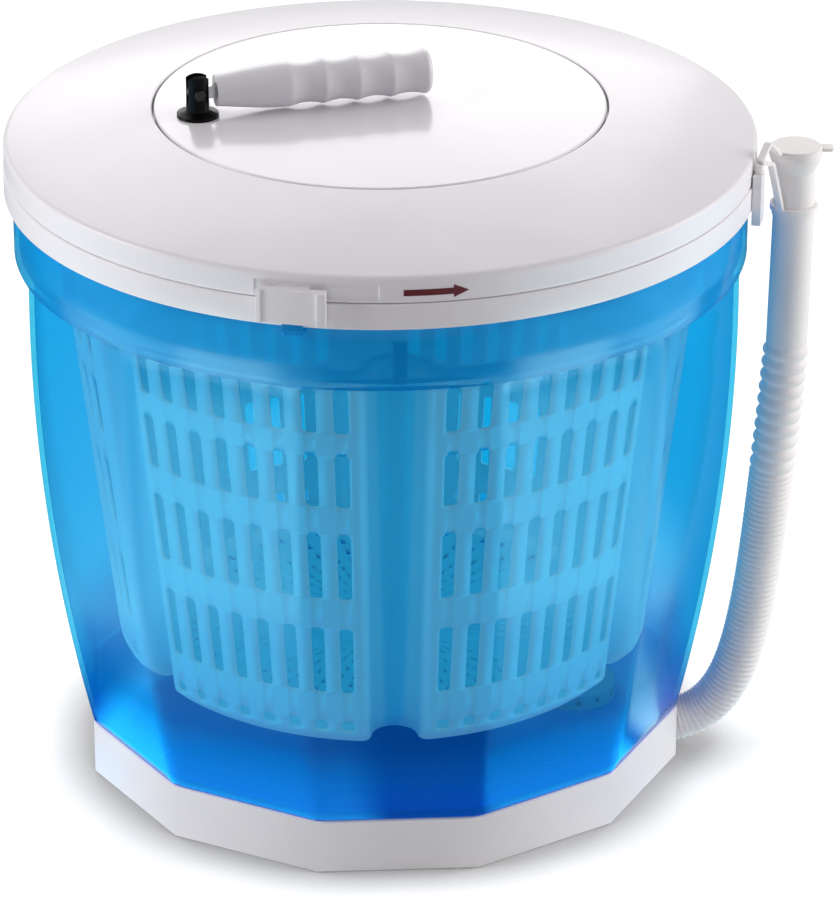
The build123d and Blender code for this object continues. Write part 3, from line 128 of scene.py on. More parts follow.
class Finish:
    """The nodes of a material or world: a method makes any node from its settings and its sockets' values."""

    def __init__(self, name, made_in=bpy.data.materials, output="ShaderNodeOutputMaterial"):
        self.owner = made_in.new(name)
        self.owner.use_nodes = True
        self.tree = self.owner.node_tree
        self.tree.nodes.clear()
        self.output = self.node(output)
        self.place = self.out(self.node("ShaderNodeTexCoord"), "Object")

    def node(self, kind, settings=None, values=None):
        made = self.tree.nodes.new(kind)
        for key, value in (settings or {}).items():
            setattr(made, key, value)
        for key, value in (values or {}).items():
            if isinstance(value, Wire):
                self.tree.links.new(value.socket, made.inputs[key])
            else:
                made.inputs[key].default_value = value
        return made

    def out(self, node, key=0):
        return Wire(self, node.outputs[key])

    def noise(self, scale, detail=3.0, rough=0.5, stretch=None):
        """Noise between 0 and 1 on the object's own coordinates, stretched along its axes if asked."""
        place = self.place
        if stretch:
            place = self.out(self.node("ShaderNodeMapping", None, {"Vector": place, "Scale": stretch}))
        made = self.node("ShaderNodeTexNoise", None,
                         {"Vector": place, "Scale": scale, "Detail": detail, "Roughness": rough})
        return self.out(made, 0)

    def axes(self):
        """The place east, north and above the floor, in metres."""
        parts = self.node("ShaderNodeSeparateXYZ", None, {0: self.place})
        return [self.out(parts, axis) for axis in ("X", "Y", "Z")]

    def range(self, value, low, high, to_low=0.0, to_high=1.0):
        """Value taken from one range to another and held at the ends."""
        made = self.node("ShaderNodeMapRange", {"clamp": True}, {
            "Value": value, "From Min": low, "From Max": high, "To Min": to_low, "To Max": to_high})
        return self.out(made, 0)

    def mix(self, share, first, second):
        """Colour between two colours."""
        made = self.node("ShaderNodeMix", {"data_type": "RGBA"}, {0: share, 6: first, 7: second})
        return self.out(made, 2)

    def bump(self, height, strength, distance):
        made = self.node("ShaderNodeBump", None,
                         {"Height": height, "Strength": strength, "Distance": distance})
        return self.out(made, 0)

    def surface(self, **sockets):
        """The Principled surface, with sockets named by words joined with underscores."""
        values = {key.replace("_", " ").title().replace("Ior", "IOR"): value
                  for key, value in sockets.items()}
        return self.node("ShaderNodeBsdfPrincipled", None, values)

    def blend(self, share, first, second):
        """A share of the second shader over the first."""
        made = self.node("ShaderNodeMixShader", None, {0: share})
        self.tree.links.new(first.outputs[0], made.inputs[1])
        self.tree.links.new(second.outputs[0], made.inputs[2])
        return made

    def close(self, shader):
        self.tree.links.new(shader.outputs[0], self.output.inputs["Surface"])
        return self.owner


def tone(red, green, blue):
    """Linear colour from a colour as a screen shows it, 0 to 255."""
    shown = np.array([red, green, blue]) / 255.0
    linear = np.where(shown <= 0.04045, shown / 12.92, ((shown + 0.055) / 1.055) ** 2.4)
    return (*linear.tolist(), 1.0)


def moulded(name, colour, shade, roughness, grain=0.02, grain_scale=700.0, coat=0.0, gloss=0.5):
    """Moulded plastic: a slow drift of tone, fine grain in the gloss and a faint orange-peel bump."""
    sheet = Finish(name)
    drift = sheet.range(sheet.noise(14.0, 2.0), 0.35, 0.65)
    fine = sheet.noise(grain_scale, 4.0, 0.6)
    rub = sheet.noise(90.0, 5.0, 0.7, (1.0, 1.0, 0.25))
    body = sheet.surface(
        base_color=sheet.mix(drift, colour, shade),
        roughness=roughness + (fine - 0.5) * 0.06 + (rub - 0.5) * 0.05,
        specular_ior_level=gloss,
        coat_weight=coat,
        coat_roughness=0.08,
        normal=sheet.bump(fine, grain, 0.0004),
    )
    return sheet.close(body)


def clear_blue(name):
    """Clear tinted plastic: part tinted see-through, part glossy blue, denser and deeper blue towards the
    bottom: partly the thick floor, partly painted shade of the dark space under the basket.
    """
    sheet = Finish(name)
    height = sheet.axes()[2]
    # Painted shade: up to 42 mm above the base the tub turns denser and deeper blue, for the thick floor and
    # for the shaded space under the basket.
    floor_and_shade = sheet.range(height, (base_top + 1.0) * MM, (base_top + 42.0) * MM, 1.0, 0.0)
    band = sheet.range(height, (band_bottom - 4.0) * MM, (band_bottom + 4.0) * MM)
    facing = sheet.out(sheet.node("ShaderNodeLayerWeight", None, {"Blend": 0.35}), "Facing")
    side_colour = sheet.mix(band, tone(0, 160, 240), tone(0, 170, 245))
    fine = sheet.noise(420.0, 3.0)
    gloss = sheet.surface(
        base_color=sheet.mix(floor_and_shade, side_colour, tone(0, 106, 255)),
        roughness=0.16 + (fine - 0.5) * 0.03,
        specular_ior_level=0.4,
        coat_weight=0.6 - band * 0.5,
        coat_roughness=0.05,
        normal=sheet.bump(sheet.noise(60.0, 2.0), 0.008, 0.0006),
    )
    clear = sheet.node("ShaderNodeBsdfTransparent", None, {"Color": (0.28, 0.82, 0.94, 1.0)})
    opacity = 0.10 + floor_and_shade * 0.46 + facing * 0.20 + band * 0.46
    return sheet.close(sheet.blend(opacity, clear, gloss))


def basket_with_painted_glow(name):
    """Milky plastic of the basket with a painted glow standing in for light passing through it: its outer
    panels glow a little and its flutes less, a painted shade in the flutes.

    The glow is part red, which the blue tub takes out again. It ends under the rim, which is seen bare."""
    sheet = Finish(name)
    east, north, height = sheet.axes()
    radius = (east * east + north * north) ** 0.5
    above = height - panel_bottom * MM
    rise = sheet.out(sheet.node("ShaderNodeMath", {"operation": "MAXIMUM"}, {0: above, 1: 0.0}))
    fall = sheet.out(sheet.node("ShaderNodeMath", {"operation": "MINIMUM"}, {0: above, 1: 0.0}))
    side_taper, corner_taper = 0.115, 1.06
    level = radius - rise * side_taper - fall * corner_taper
    # Painted light: the emission is a painted glow, strongest on the outer faces of the panels, weaker on the
    # flutes as painted shade there, and faint on the inner faces and the rim.
    flute = sheet.range(level, 0.1139, 0.1154, 0.0, 0.3)
    panel = sheet.range(level, 0.1230, 0.1300, 0.0, 0.7)
    facing = sheet.node("ShaderNodeVectorMath", {"operation": "DOT_PRODUCT"},
                        {0: sheet.place, 1: sheet.out(sheet.node("ShaderNodeTexCoord"), "Normal")})
    under_rim = sheet.range(height, (basket_rim - 5.0) * MM, (basket_rim - 4.2) * MM, 1.0, 0.0)
    outward = (flute + panel) * under_rim * sheet.range(sheet.out(facing, "Value"), 0.0, 0.01)
    fine = sheet.noise(500.0, 3.0)
    drift = sheet.range(sheet.noise(14.0, 2.0), 0.35, 0.65)
    body = sheet.surface(
        base_color=sheet.mix(drift, tone(246, 247, 249), tone(240, 242, 246)),
        roughness=0.38 + (fine - 0.5) * 0.06,
        emission_color=sheet.mix(outward, (0.06, 0.10, 0.13, 1.0), (0.92, 0.25, 0.21, 1.0)),
        emission_strength=1.0,
        normal=sheet.bump(fine, 0.01, 0.0004),
    )
    return sheet.close(body)


def brushed_steel(name, light=0.62):
    """Turned steel: fine stretched streaks in the gloss."""
    sheet = Finish(name)
    streak = sheet.noise(260.0, 4.0, 0.6, (1.0, 1.0, 8.0))
    dim = light * 0.8
    body = sheet.surface(
        base_color=sheet.mix(streak, (light, light, light, 1.0), (dim, dim, dim, 1.0)),
        metallic=1.0,
        roughness=0.28 + (streak - 0.5) * 0.14,
        normal=sheet.bump(streak, 0.08, 0.0002),
    )
    return sheet.close(body)


def printed(name, colour, shade):
    """Ink printed on the rim: slightly uneven cover."""
    sheet = Finish(name)
    cover = sheet.range(sheet.noise(900.0, 3.0), 0.3, 0.7)
    body = sheet.surface(base_color=sheet.mix(cover, colour, shade), roughness=0.42 + (cover - 0.5) * 0.1)
    return sheet.close(body)


white_gloss = moulded("white_gloss_plastic", tone(247, 243, 247), tone(243, 239, 243),
                      roughness=0.30, grain=0.004, grain_scale=600.0, coat=0.06, gloss=0.25)
disc_white = moulded("disc_white_plastic", tone(240, 236, 241), tone(236, 232, 237),
                     roughness=0.17, grain=0.003, grain_scale=600.0, coat=0.1)
base_white = moulded("base_white_plastic", tone(250, 246, 245), tone(246, 242, 242),
                     roughness=0.45, grain=0.004, grain_scale=600.0, gloss=0.04)
grip_white = moulded("grip_white_plastic", tone(233, 230, 235), tone(226, 223, 228),
                     roughness=0.34, grain=0.006, grain_scale=800.0, coat=0.1)
basket_white = basket_with_painted_glow("basket_white_plastic")
inner_grey = moulded("inner_grey_plastic", tone(206, 206, 208), tone(196, 196, 199),
                     roughness=0.48, grain=0.05, grain_scale=500.0)
black_gloss = moulded("black_gloss_plastic", tone(5, 5, 6), tone(8, 8, 9),
                      roughness=0.3, grain=0.01, gloss=0.12)
hose_soft = moulded("soft_hose_plastic", tone(250, 245, 243), tone(243, 238, 237),
                    roughness=0.42, grain=0.05, grain_scale=400.0, gloss=0.1)
rubber_black = moulded("black_rubber", tone(34, 34, 35), tone(42, 42, 43),
                       roughness=0.72, grain=0.15, grain_scale=900.0)
tub_blue = clear_blue("clear_blue_plastic")
steel = brushed_steel("turned_steel")
dark_steel = brushed_steel("darkened_steel", light=0.05)
arrow_red = printed("dark_red_ink", tone(120, 22, 34), tone(96, 14, 26))

slot_finish = {
    "white_plastic": white_gloss, "blue_clear": tub_blue, "basket_plastic": basket_white,
    "grey_plastic": inner_grey, "black_plastic": black_gloss, "hose_plastic": hose_soft,
    "rubber": rubber_black, "steel": steel,
}
node_slot = {entry["node"]: entry["material_slot"] for entry in frame["record"]["subparts"]}
node_body = {node: body for body, members in frame["record"]["behaviour"]["bodies"].items()
             for node in members}
for node, item in frame["nodes"].items():
    item.data.materials.clear()
    item.data.materials.append(slot_finish[node_slot[node]])


# Making surfaces
def grid_faces(rows, columns, close_rows, close_columns):
    """Quads of a grid of points, as indices, closed round in either direction if asked."""
    row_steps = rows if close_rows else rows - 1
    column_steps = columns if close_columns else columns - 1
    row, column = np.meshgrid(np.arange(row_steps), np.arange(column_steps), indexing="ij")
    next_row = (row + 1) % rows
    next_column = (column + 1) % columns
    corners = [row * columns + column, row * columns + next_column,
               next_row * columns + next_column, next_row * columns + column]
    return np.stack([corner.ravel() for corner in corners], axis=1)


def mesh_piece(name, points, faces, finish, body, sharp=None):
    """A piece from points in millimetres and faces: merged, turned outwards, smooth, and riding on a body."""
    mesh = bpy.data.meshes.new(name)
    places = np.asarray(points).reshape(-1, 3) * MM
    mesh.from_pydata(places.tolist(), [], [list(map(int, face)) for face in faces])
    sheet = bmesh.new()
    sheet.from_mesh(mesh)
    bmesh.ops.remove_doubles(sheet, verts=sheet.verts, dist=0.002 * MM)
    bmesh.ops.recalc_face_normals(sheet, faces=sheet.faces)
    sheet.to_mesh(mesh)
    sheet.free()
    mesh.shade_smooth()
    if sharp is not None:
        mesh.set_sharp_from_angle(angle=radians(sharp))
    mesh.materials.append(finish)
    piece = bpy.data.objects.new(name, mesh)
    bpy.context.scene.collection.objects.link(piece)
    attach(piece, body)
    return piece


def rounded(outline, radius, steps=5, closed=True):
    """Outline whose corners are rounded: each corner becomes a short quadratic bow between its two sides."""
    outline = np.asarray(outline, float)
    count = len(outline)
    shares = np.linspace(0.0, 1.0, steps)[:, None]
    made = []
    for index in range(count):
        corner = outline[index]
        if not closed and index in (0, count - 1):
            made.append(corner[None])
            continue
        before = outline[index - 1] - corner
        after = outline[(index + 1) % count] - corner
        reach = min(radius, 0.45 * np.linalg.norm(before), 0.45 * np.linalg.norm(after))
        start = corner + before / np.linalg.norm(before) * reach
        end = corner + after / np.linalg.norm(after) * reach
        made.append((1 - shares) ** 2 * start + 2 * shares * (1 - shares) * corner + shares ** 2 * end)
    return np.concatenate(made)


def turned(name, outline, finish, body, around=256, axis=None, sharp=None):
    """Surface of revolution: each outline point (radius, height) is carried round the upright axis."""
    outline = np.asarray(outline, float)
    angles = np.linspace(0.0, 2 * pi, around, endpoint=False)
    radius = outline[:, 0][:, None]
    points = np.stack([radius * np.cos(angles), radius * np.sin(angles),
                       np.repeat(outline[:, 1][:, None], around, axis=1)], axis=-1)
    if axis is not None:
        points = points.reshape(-1, 3) @ np.asarray(axis["turn"]).T + np.asarray(axis["at"])
    faces = grid_faces(len(outline), around, True, True)
    return mesh_piece(name, points, faces, finish, body, sharp)


def soften(piece, width, steps, angle):
    """Bevel, of a width in millimetres, along the edges that are sharper than an angle in degrees."""
    bevel = piece.modifiers.new("soft_edges", "BEVEL")
    bevel.width = width * MM
    bevel.segments = steps
    bevel.limit_method = "ANGLE"
    bevel.angle_limit = radians(angle)
    return bevel


def dressed(node, width, steps=2, angle=30.0, finish=None):
    """A copy of a CAD piece with merged corners, flat faces joined and its edges softly rounded."""
    source = frame["nodes"][node]
    sheet = bmesh.new()
    sheet.from_mesh(source.data)
    bmesh.ops.remove_doubles(sheet, verts=sheet.verts, dist=0.004 * MM)
    bmesh.ops.dissolve_limit(sheet, angle_limit=radians(0.5), verts=sheet.verts, edges=sheet.edges)
    mesh = bpy.data.meshes.new(node + "_skin")
    sheet.to_mesh(mesh)
    sheet.free()
    mesh.shade_smooth()
    mesh.set_sharp_from_angle(angle=radians(angle))
    mesh.materials.append(finish or slot_finish[node_slot[node]])
    piece = bpy.data.objects.new(node + "_skin", mesh)
    bpy.context.scene.collection.objects.link(piece)
    soften(piece, width, steps, angle).harden_normals = True
    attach(piece, node_body[node])
    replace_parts(piece, node)
    return piece


def arc_bar(name, inner, outer, start, span, low, high, finish, body, width=0.4):
    """Block between two radii, two angles and two heights, whose curved sides follow the rim."""
    steps = max(3, int(abs(span)) + 2)
    angles = np.radians(np.linspace(start, start + span, steps))
    corners = [(inner, low), (outer, low), (outer, high), (inner, high)]
    points = np.array([[(r * cos(a), r * sin(a), z) for r, z in corners] for a in angles])
    faces = grid_faces(steps, 4, False, True).tolist()
    faces += [[3, 2, 1, 0], [steps * 4 - 4, steps * 4 - 3, steps * 4 - 2, steps * 4 - 1]]
    corner_angle = 40.0
    piece = mesh_piece(name, points, faces, finish, body, corner_angle)
    soften(piece, width, 2, corner_angle)


# Tub
def facet_swell(angles):
    """How far a twelve-sided outline lies beyond its flats: one over the power mean of the cosines."""
    power = 190.0
    centres = np.arange(side_count) * 2 * pi / side_count
    cosines = np.maximum(np.cos(angles[:, None] - centres), 0.0)
    return np.sum(cosines ** power, axis=1) ** (-1.0 / power)


def tub_side(low, high, inset, steps):
    """Rows (flat radius, height, share of facets) up the bulging side between two shares of its height."""
    share = np.linspace(low, high, steps)
    taper = side_flat_low + (side_flat_high - side_flat_low) * share
    flat = taper + side_bulge * 4 * share * (1 - share) - inset
    height = base_top + (band_bottom - base_top) * share
    return np.stack([flat, height, np.ones(steps)], axis=1)


def make_tub():
    """Tub: rows up the outside, over the rim and down the inside to the hub, each swelled by the facets.

    A row is (radius, height, share of the facets), and a share of nothing gives a round row."""
    floor_share = tub_floor / (band_bottom - base_top)
    wall_top = band_bottom + tub_wall
    outside = tub_side(0.004, 0.996, 0.0, 40)
    inside = tub_side(floor_share + 0.004, 0.99, tub_wall, 40)[::-1]
    floor_flat = side_flat_low - tub_wall
    floor_top = base_top + tub_floor
    hub_foot, hub_radius, hub_height, hub_round = 17.0, 11.8, 15.0, 0.6
    under = [(0.0, base_top, 0.0), (60.0, base_top, 0.0), (130.0, base_top, 0.6),
             (side_flat_low - 1.4, base_top, 1.0), (side_flat_low - 0.5, base_top + 0.3, 1.0)]
    step = [(side_flat_high + 0.4, band_bottom - 0.5, 1.0), (side_flat_high + 1.6, band_bottom, 0.9),
            (band_radius - 1.2, band_bottom, 0.0), (band_radius - 0.3, band_bottom + 0.3, 0.0),
            (band_radius, band_bottom + 1.2, 0.0), (band_radius, tub_rim - 0.6, 0.0),
            (band_radius - 0.6, tub_rim, 0.0), (band_radius - tub_wall + 0.6, tub_rim, 0.0),
            (band_radius - tub_wall, tub_rim - 0.6, 0.0), (band_radius - tub_wall, wall_top + 0.8, 0.0),
            (band_radius - tub_wall - 0.8, wall_top, 0.0), (side_flat_high - tub_wall + 1.0, wall_top, 1.0),
            (side_flat_high - tub_wall, wall_top - 0.8, 1.0)]
    floor = [(floor_flat - 0.6, floor_top + 0.2, 1.0), (floor_flat - 2.0, floor_top, 1.0),
             (100.0, floor_top, 0.3), (hub_foot + 1.0, floor_top, 0.0),
             (hub_foot, floor_top + hub_round, 0.0),
             (hub_radius + 0.8, floor_top + hub_height - hub_round, 0.0),
             (hub_radius, floor_top + hub_height, 0.0), (0.0, floor_top + hub_height, 0.0)]
    rows = np.concatenate([under, outside, step, inside, floor])
    angles = np.linspace(0.0, 2 * pi, side_count * 28, endpoint=False)
    swell = 1 + rows[:, 2][:, None] * (facet_swell(angles) - 1)
    radius = rows[:, 0][:, None] * swell
    points = np.stack([radius * np.cos(angles), radius * np.sin(angles),
                       np.repeat(rows[:, 1][:, None], len(angles), axis=1)], axis=-1)
    piece = mesh_piece("tub_shell", points, grid_faces(len(rows), len(angles), False, True),
                       tub_blue, "tub", sharp=50.0)
    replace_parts(piece, "tub")
    band_inside = band_radius - tub_wall
    rib_depth, rib_span, rib_height = 3.0, 2.14, 20.0
    for rib in range(flute_count):
        centre = 30.0 + 60.0 * rib
        arc_bar(f"band_rib_{rib + 1}", band_inside - rib_depth, band_inside + 0.2,
                centre - rib_span / 2, rib_span, wall_top - 0.2, wall_top + rib_height,
                tub_blue, "tub")
    lug_bearing, lug_span = -105.4, 3.0
    lug_inner, lug_outer = 181.2, 183.3
    shelf_low, shelf_high, lug_top = 295.6, 298.7, 305.1
    for lug, turn in (("front", 0.0), ("rear", 180.0)):
        start = lug_bearing + turn - lug_span / 2
        arc_bar(f"{lug}_lug_shelf", band_radius - 0.8, lug_outer, start, lug_span, shelf_low, shelf_high,
                tub_blue, "tub")
        arc_bar(f"{lug}_lug_upright", lug_inner, lug_outer, start, lug_span, shelf_high, lug_top,
                tub_blue, "tub")


make_tub()


# Collar, lid cover and turntable
collar_inner = band_radius + 0.1
collar_lip = collar_high[0] - 8.5
collar_outline = rounded([
    (collar_inner, collar_low[2]), (collar_high[0], collar_low[2]), (collar_high[0], collar_high[2]),
    (collar_lip, collar_high[2]), (collar_lip, tub_rim), (collar_inner, tub_rim),
], radius=0.9)
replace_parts(turned("collar_ring", collar_outline, white_gloss, "tub", around=320), "collar")


def make_lid():
    """Lid cover: its outline carried round, with a shallow groove pressed into the rim beside each latch."""
    bottom = lid_low[2]
    slope_height = 14.0
    shoulder = lid_top - slope_height
    fall = slope_height / (lid_radius - opening_radius)
    wall = 2.5
    outer = rounded([
        (lid_radius - wall, bottom), (lid_radius, bottom), (lid_radius, shoulder + 0.4),
        (opening_radius, lid_top), (opening_radius, lid_top - wall),
        (lid_radius - wall, shoulder + wall * fall - wall),
    ], radius=2.4, steps=7)
    rim_rows = np.linspace(bottom + 2.6, shoulder - 2.2, 15)
    rim = np.stack([np.full(len(rim_rows), lid_radius), rim_rows], axis=1)
    cut = int(np.argmax(outer[:, 1] > shoulder - 2.4))
    outline = np.concatenate([outer[:cut], rim[rim[:, 1] < outer[cut, 1]], outer[cut:]])
    keep = [0]
    for index in range(1, len(outline)):
        if np.linalg.norm(outline[index] - outline[keep[-1]]) > 0.02:
            keep.append(index)
    outline = outline[keep]
    groove_start, groove_end, groove_ramp = -111.2, -93.1, 0.24
    groove_middle, groove_half = (groove_start + groove_end) / 2, (groove_end - groove_start) / 2
    groove_height, groove_half_height, groove_depth = 317.2, 3.6, 0.9
    edges = [bearing + side * groove_ramp / 2 for bearing in (groove_start, groove_end) for side in (-1, 1)]
    angles = np.sort(np.concatenate([np.linspace(-180.0, 180.0, 320, endpoint=False), edges,
                                     np.array(edges) + 180.0]))
    turn = np.radians(angles)
    radius = np.repeat(outline[:, 0][:, None], len(angles), axis=1)
    height = np.repeat(outline[:, 1][:, None], len(angles), axis=1)
    along = np.abs((angles - groove_middle + 90) % 180 - 90)
    inside_angle = np.clip((groove_half - along) / groove_ramp + 0.5, 0, 1)
    inside_height = np.clip((groove_half_height - np.abs(height - groove_height)) / 0.6, 0, 1)
    on_rim = np.abs(radius - lid_radius) < 0.3
    radius = radius - groove_depth * inside_angle[None] * inside_height * on_rim
    points = np.stack([radius * np.cos(turn), radius * np.sin(turn), height], axis=-1)
    piece = mesh_piece("lid_shell", points, grid_faces(len(outline), len(angles), True, True),
                       white_gloss, "lid", sharp=40.0)
    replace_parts(piece, "lid_cover")


make_lid()
disc_under, skirt_low = lid_top - 3.0, lid_top - 11.0
skirt_inner, skirt_outer = 101.5, 104.7
flange_radius, flange_low, flange_high = 112.2, lid_top - 5.9, lid_top - 3.7
disc_outline = rounded([
    (0.0, disc_under), (skirt_inner, disc_under), (skirt_inner, skirt_low), (skirt_outer, skirt_low),
    (skirt_outer, flange_low), (flange_radius, flange_low), (flange_radius, flange_high),
    (skirt_outer, flange_high), (skirt_outer, disc_under), (disc_radius, disc_under),
    (disc_radius, lid_top), (0.0, lid_top),
], radius=0.9, steps=4, closed=False)
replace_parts(turned("turntable_disc", disc_outline, disc_white, "turntable", sharp=40.0),
            "turntable")


# Crank handle
def along_grip():
    """Turn that takes the upright axis to the direction of the grip, and the place of its hinge."""
    angle = radians(grip_turn)
    ahead = np.array([cos(angle), sin(angle), 0.0])
    side = np.array([-sin(angle), cos(angle), 0.0])
    up = np.array([0.0, 0.0, 1.0])
    return {"turn": np.stack([side, up, ahead], axis=1), "at": post_place}


def make_grip():
    """Grip: a radius along its length, with a bowed neck, scallops as a row of sine bows, and a round end."""
    start, neck_end, end = 8.6, 43.9, 110.3
    root_radius, neck_swell = 7.6, 3.3
    grip_radius, scallops, scallop_depth = 10.9, 4, 1.35
    end_round, rod_bore, cap_bore, cap_seat = 3.0, 3.1, 7.0, 111.8
    neck = np.linspace(start, neck_end, 26)
    share = (neck - start) / (neck_end - start)
    neck_radius = root_radius + neck_swell * np.sin(share * pi / 2) ** 1.15
    fingers = np.linspace(neck_end, end, 90)[1:]
    finger_turn = (fingers - neck_end) / (end - neck_end) * scallops * pi
    finger_radius = grip_radius - scallop_depth * np.abs(np.sin(finger_turn))
    tip = np.linspace(0.0, pi / 2, 8)[1:]
    tip_along = end + end_round * np.sin(tip)
    tip_radius = grip_radius - end_round * (1 - np.cos(tip))
    outline = np.concatenate([
        [(rod_bore, start + 1.1), (root_radius - 2.0, start + 0.1), (root_radius - 0.6, start)],
        np.stack([neck_radius, neck], axis=1),
        np.stack([finger_radius, fingers], axis=1),
        np.stack([tip_radius, tip_along], axis=1),
        [(cap_bore + 0.4, end + end_round), (cap_bore + 0.05, end + end_round - 0.3),
         (cap_bore, cap_seat), (rod_bore, cap_seat)],
    ])
    piece = turned("grip_body", outline, grip_white, "grip",
                   around=72, axis=along_grip(), sharp=60.0)
    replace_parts(piece, "grip")


make_grip()
for node, width in (("handle_post", 0.35), ("handle_spindle", 0.3), ("grip_cap", 0.3)):
    dressed(node, width)
dressed("hinge_pin", width=0.3, finish=dark_steel)


# Basket
def basket_outline():
    """Outline of the basket for a radius of one: flute bow, round lip and panel, and each step's mark.

    A mark says whether the cell from that step to the next is solid or a part of a slot column."""
    flute, depth, lip = 0.092, 0.04, 0.04
    centre = 1 - depth
    reach = flute + lip
    lip_x = ((1 - lip) ** 2 - reach ** 2 + centre ** 2) / (2 * centre)
    lip_y = sqrt((1 - lip) ** 2 - lip_x ** 2)
    meet = atan2(lip_y, lip_x - centre)
    bow = np.linspace(pi, meet, 9)
    flute_points = [(centre + flute * cos(a), flute * sin(a)) for a in bow]
    lip_start = atan2(-lip_y, centre - lip_x)
    lip_end = atan2(lip_y, lip_x)
    lip_bow = np.linspace(lip_start, lip_end, 6)[1:]
    lip_points = [(lip_x + lip * cos(a), lip_y + lip * sin(a)) for a in lip_bow]
    mean_radius, first_column, column_step = 142.0, 9.875, 5.75
    edge = degrees(slot_corner / mean_radius)
    angles, marks = [], []
    for column in range(4):
        middle = first_column + column_step * column
        angles += [middle - slot_half_angle, middle - slot_half_angle + edge,
                   middle + slot_half_angle - edge, middle + slot_half_angle]
        marks += ["left", "middle", "right", "solid"]
    panel_points = [(cos(radians(a)), sin(radians(a))) for a in angles]
    half = flute_points + lip_points + panel_points
    half_marks = ["solid"] * (len(flute_points) + len(lip_points)) + marks
    mirrored = [(x, -y) for x, y in half[1:]][::-1]
    back_marks = {"left": "right", "right": "left", "middle": "middle", "solid": "solid"}
    mirrored_marks = [back_marks[mark] for mark in half_marks[1:]][::-1]
    mirrored_marks = mirrored_marks[1:] + ["solid"]
    period = np.array(mirrored + half)
    marks = mirrored_marks + half_marks
    points, all_marks = [], []
    for turn in range(flute_count):
        angle = radians(30.0 + 60.0 * turn)
        spin = np.array([[cos(angle), -sin(angle)], [sin(angle), cos(angle)]])
        points.append(period @ spin.T)
        all_marks += marks
    return np.concatenate(points), all_marks


def basket_radius(height):
    """Radius of the panels at a height: a steep lower corner, then the slight taper of the sides."""
    floor_radius, side_height = 122.5, 200.0
    corner_share = np.clip((height - basket_bottom) / (panel_bottom - basket_bottom), 0, 1)
    corner = floor_radius + (panel_radius_low - floor_radius) * corner_share
    side = (panel_radius_high - panel_radius_low) * np.clip((height - panel_bottom) / side_height, 0, 1)
    return corner + side


def make_basket():
    """Basket wall: the outline scaled to the radius of each height, with the cells of the slots left open."""
    outline, marks = basket_outline()
    heights = [basket_bottom, basket_bottom + 1.4, basket_bottom + 4.0, panel_bottom - 0.6]
    kinds = ["solid"] * len(heights)
    for low, high in slot_rows:
        heights += [low, low + slot_corner, high - slot_corner, high]
        kinds += ["low", "middle", "high", "solid"]
    heights.append(basket_rim)
    kinds.append("solid")
    heights = np.array(heights)
    radius = basket_radius(heights)
    radius[0] -= 0.6
    points = np.concatenate([outline[None] * radius[:, None, None],
                             np.repeat(heights[:, None, None], len(outline), axis=1)], axis=-1)
    count = len(outline)
    half_cells = {("low", "left"): (0, 1, 3), ("low", "right"): (0, 1, 2),
                  ("high", "left"): (0, 2, 3), ("high", "right"): (1, 2, 3)}
    faces = []
    for row, kind in enumerate(kinds[:-1]):
        for column in range(count):
            after = (column + 1) % count
            cell = [row * count + column, row * count + after,
                    (row + 1) * count + after, (row + 1) * count + column]
            mark = marks[column]
            if kind == "solid" or mark == "solid":
                faces.append(cell)
            elif (kind, mark) in half_cells:
                faces.append([cell[corner] for corner in half_cells[kind, mark]])
    floor_rows = np.linspace(1.0, 0.1, 24)[1:]
    ring = outline[None] * radius[0]
    circle = outline / np.linalg.norm(outline, axis=1)[:, None]
    blend = np.clip((1 - floor_rows) * 3.5, 0, 1)[:, None, None]
    round_share = 0.86
    floor_plan = ring * (1 - blend) + circle[None] * radius[0] * round_share * blend
    floor_plan *= floor_rows[:, None, None]
    floor_points = np.concatenate([floor_plan, np.full((len(floor_rows), count, 1), basket_bottom)], axis=-1)
    offset = len(heights) * count
    first = np.arange(count)
    faces += [[b, a, offset + a, offset + b] for a, b in zip(first, (first + 1) % count)]
    for row in range(len(floor_rows) - 1):
        for column in range(count):
            after = (column + 1) % count
            open_cell = row % 2 == 1 and row < len(floor_rows) - 4 and marks[column] == "middle"
            if not open_cell:
                faces.append([offset + row * count + column, offset + (row + 1) * count + column,
                              offset + (row + 1) * count + after, offset + row * count + after])
    every = np.concatenate([points.reshape(-1, 3), floor_points.reshape(-1, 3)])
    piece = mesh_piece("basket_wall", every, faces, basket_white, "basket", sharp=50.0)
    wall = piece.modifiers.new("wall", "SOLIDIFY")
    wall.thickness = basket_wall * MM
    wall.offset = -1.0
    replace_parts(piece, "basket")
    lip_out, lip_in, lip_height = 1.5, -2.4, 4.0
    lip = rounded([(-0.2, 0.0), (lip_out, 0.0), (lip_out, lip_height),
                   (lip_in, lip_height), (lip_in, 0.0)], radius=0.9, steps=4)
    rim_points = np.stack([
        np.concatenate([outline * (panel_radius_high + out),
                        np.full((count, 1), basket_rim - lip_height + up)], axis=1)
        for out, up in lip])
    mesh_piece("basket_rim", rim_points, grid_faces(len(lip), count, True, True),
               basket_white, "basket", sharp=50.0)
    hub_bore, hub_radius = 8.2, 12.1
    hub_low, bore_top, hub_top = 48.9, 70.4, 72.8
    hub = rounded([(hub_bore, hub_low), (hub_radius, hub_low), (hub_radius, hub_top),
                   (0.0, hub_top), (0.0, bore_top), (hub_bore, bore_top)],
                  radius=0.8, steps=4, closed=False)
    turned("basket_hub", hub, basket_white, "basket", around=64, sharp=40.0)
    ledge_inner, ledge_outer, ledge_low, ledge_high = 115.6, 131.0, 244.0, 250.0
    ledge_span = degrees(16.0 / 124.0)
    for arm in range(3):
        centre = 90.0 + 120.0 * arm
        arc_bar(f"spider_ledge_{arm + 1}", ledge_inner, ledge_outer, centre - ledge_span / 2, ledge_span,
                ledge_low, ledge_high, basket_white, "basket")


make_basket()
for node in ("drive_spider", "outlet_strainer"):
    dressed(node, width=0.6)


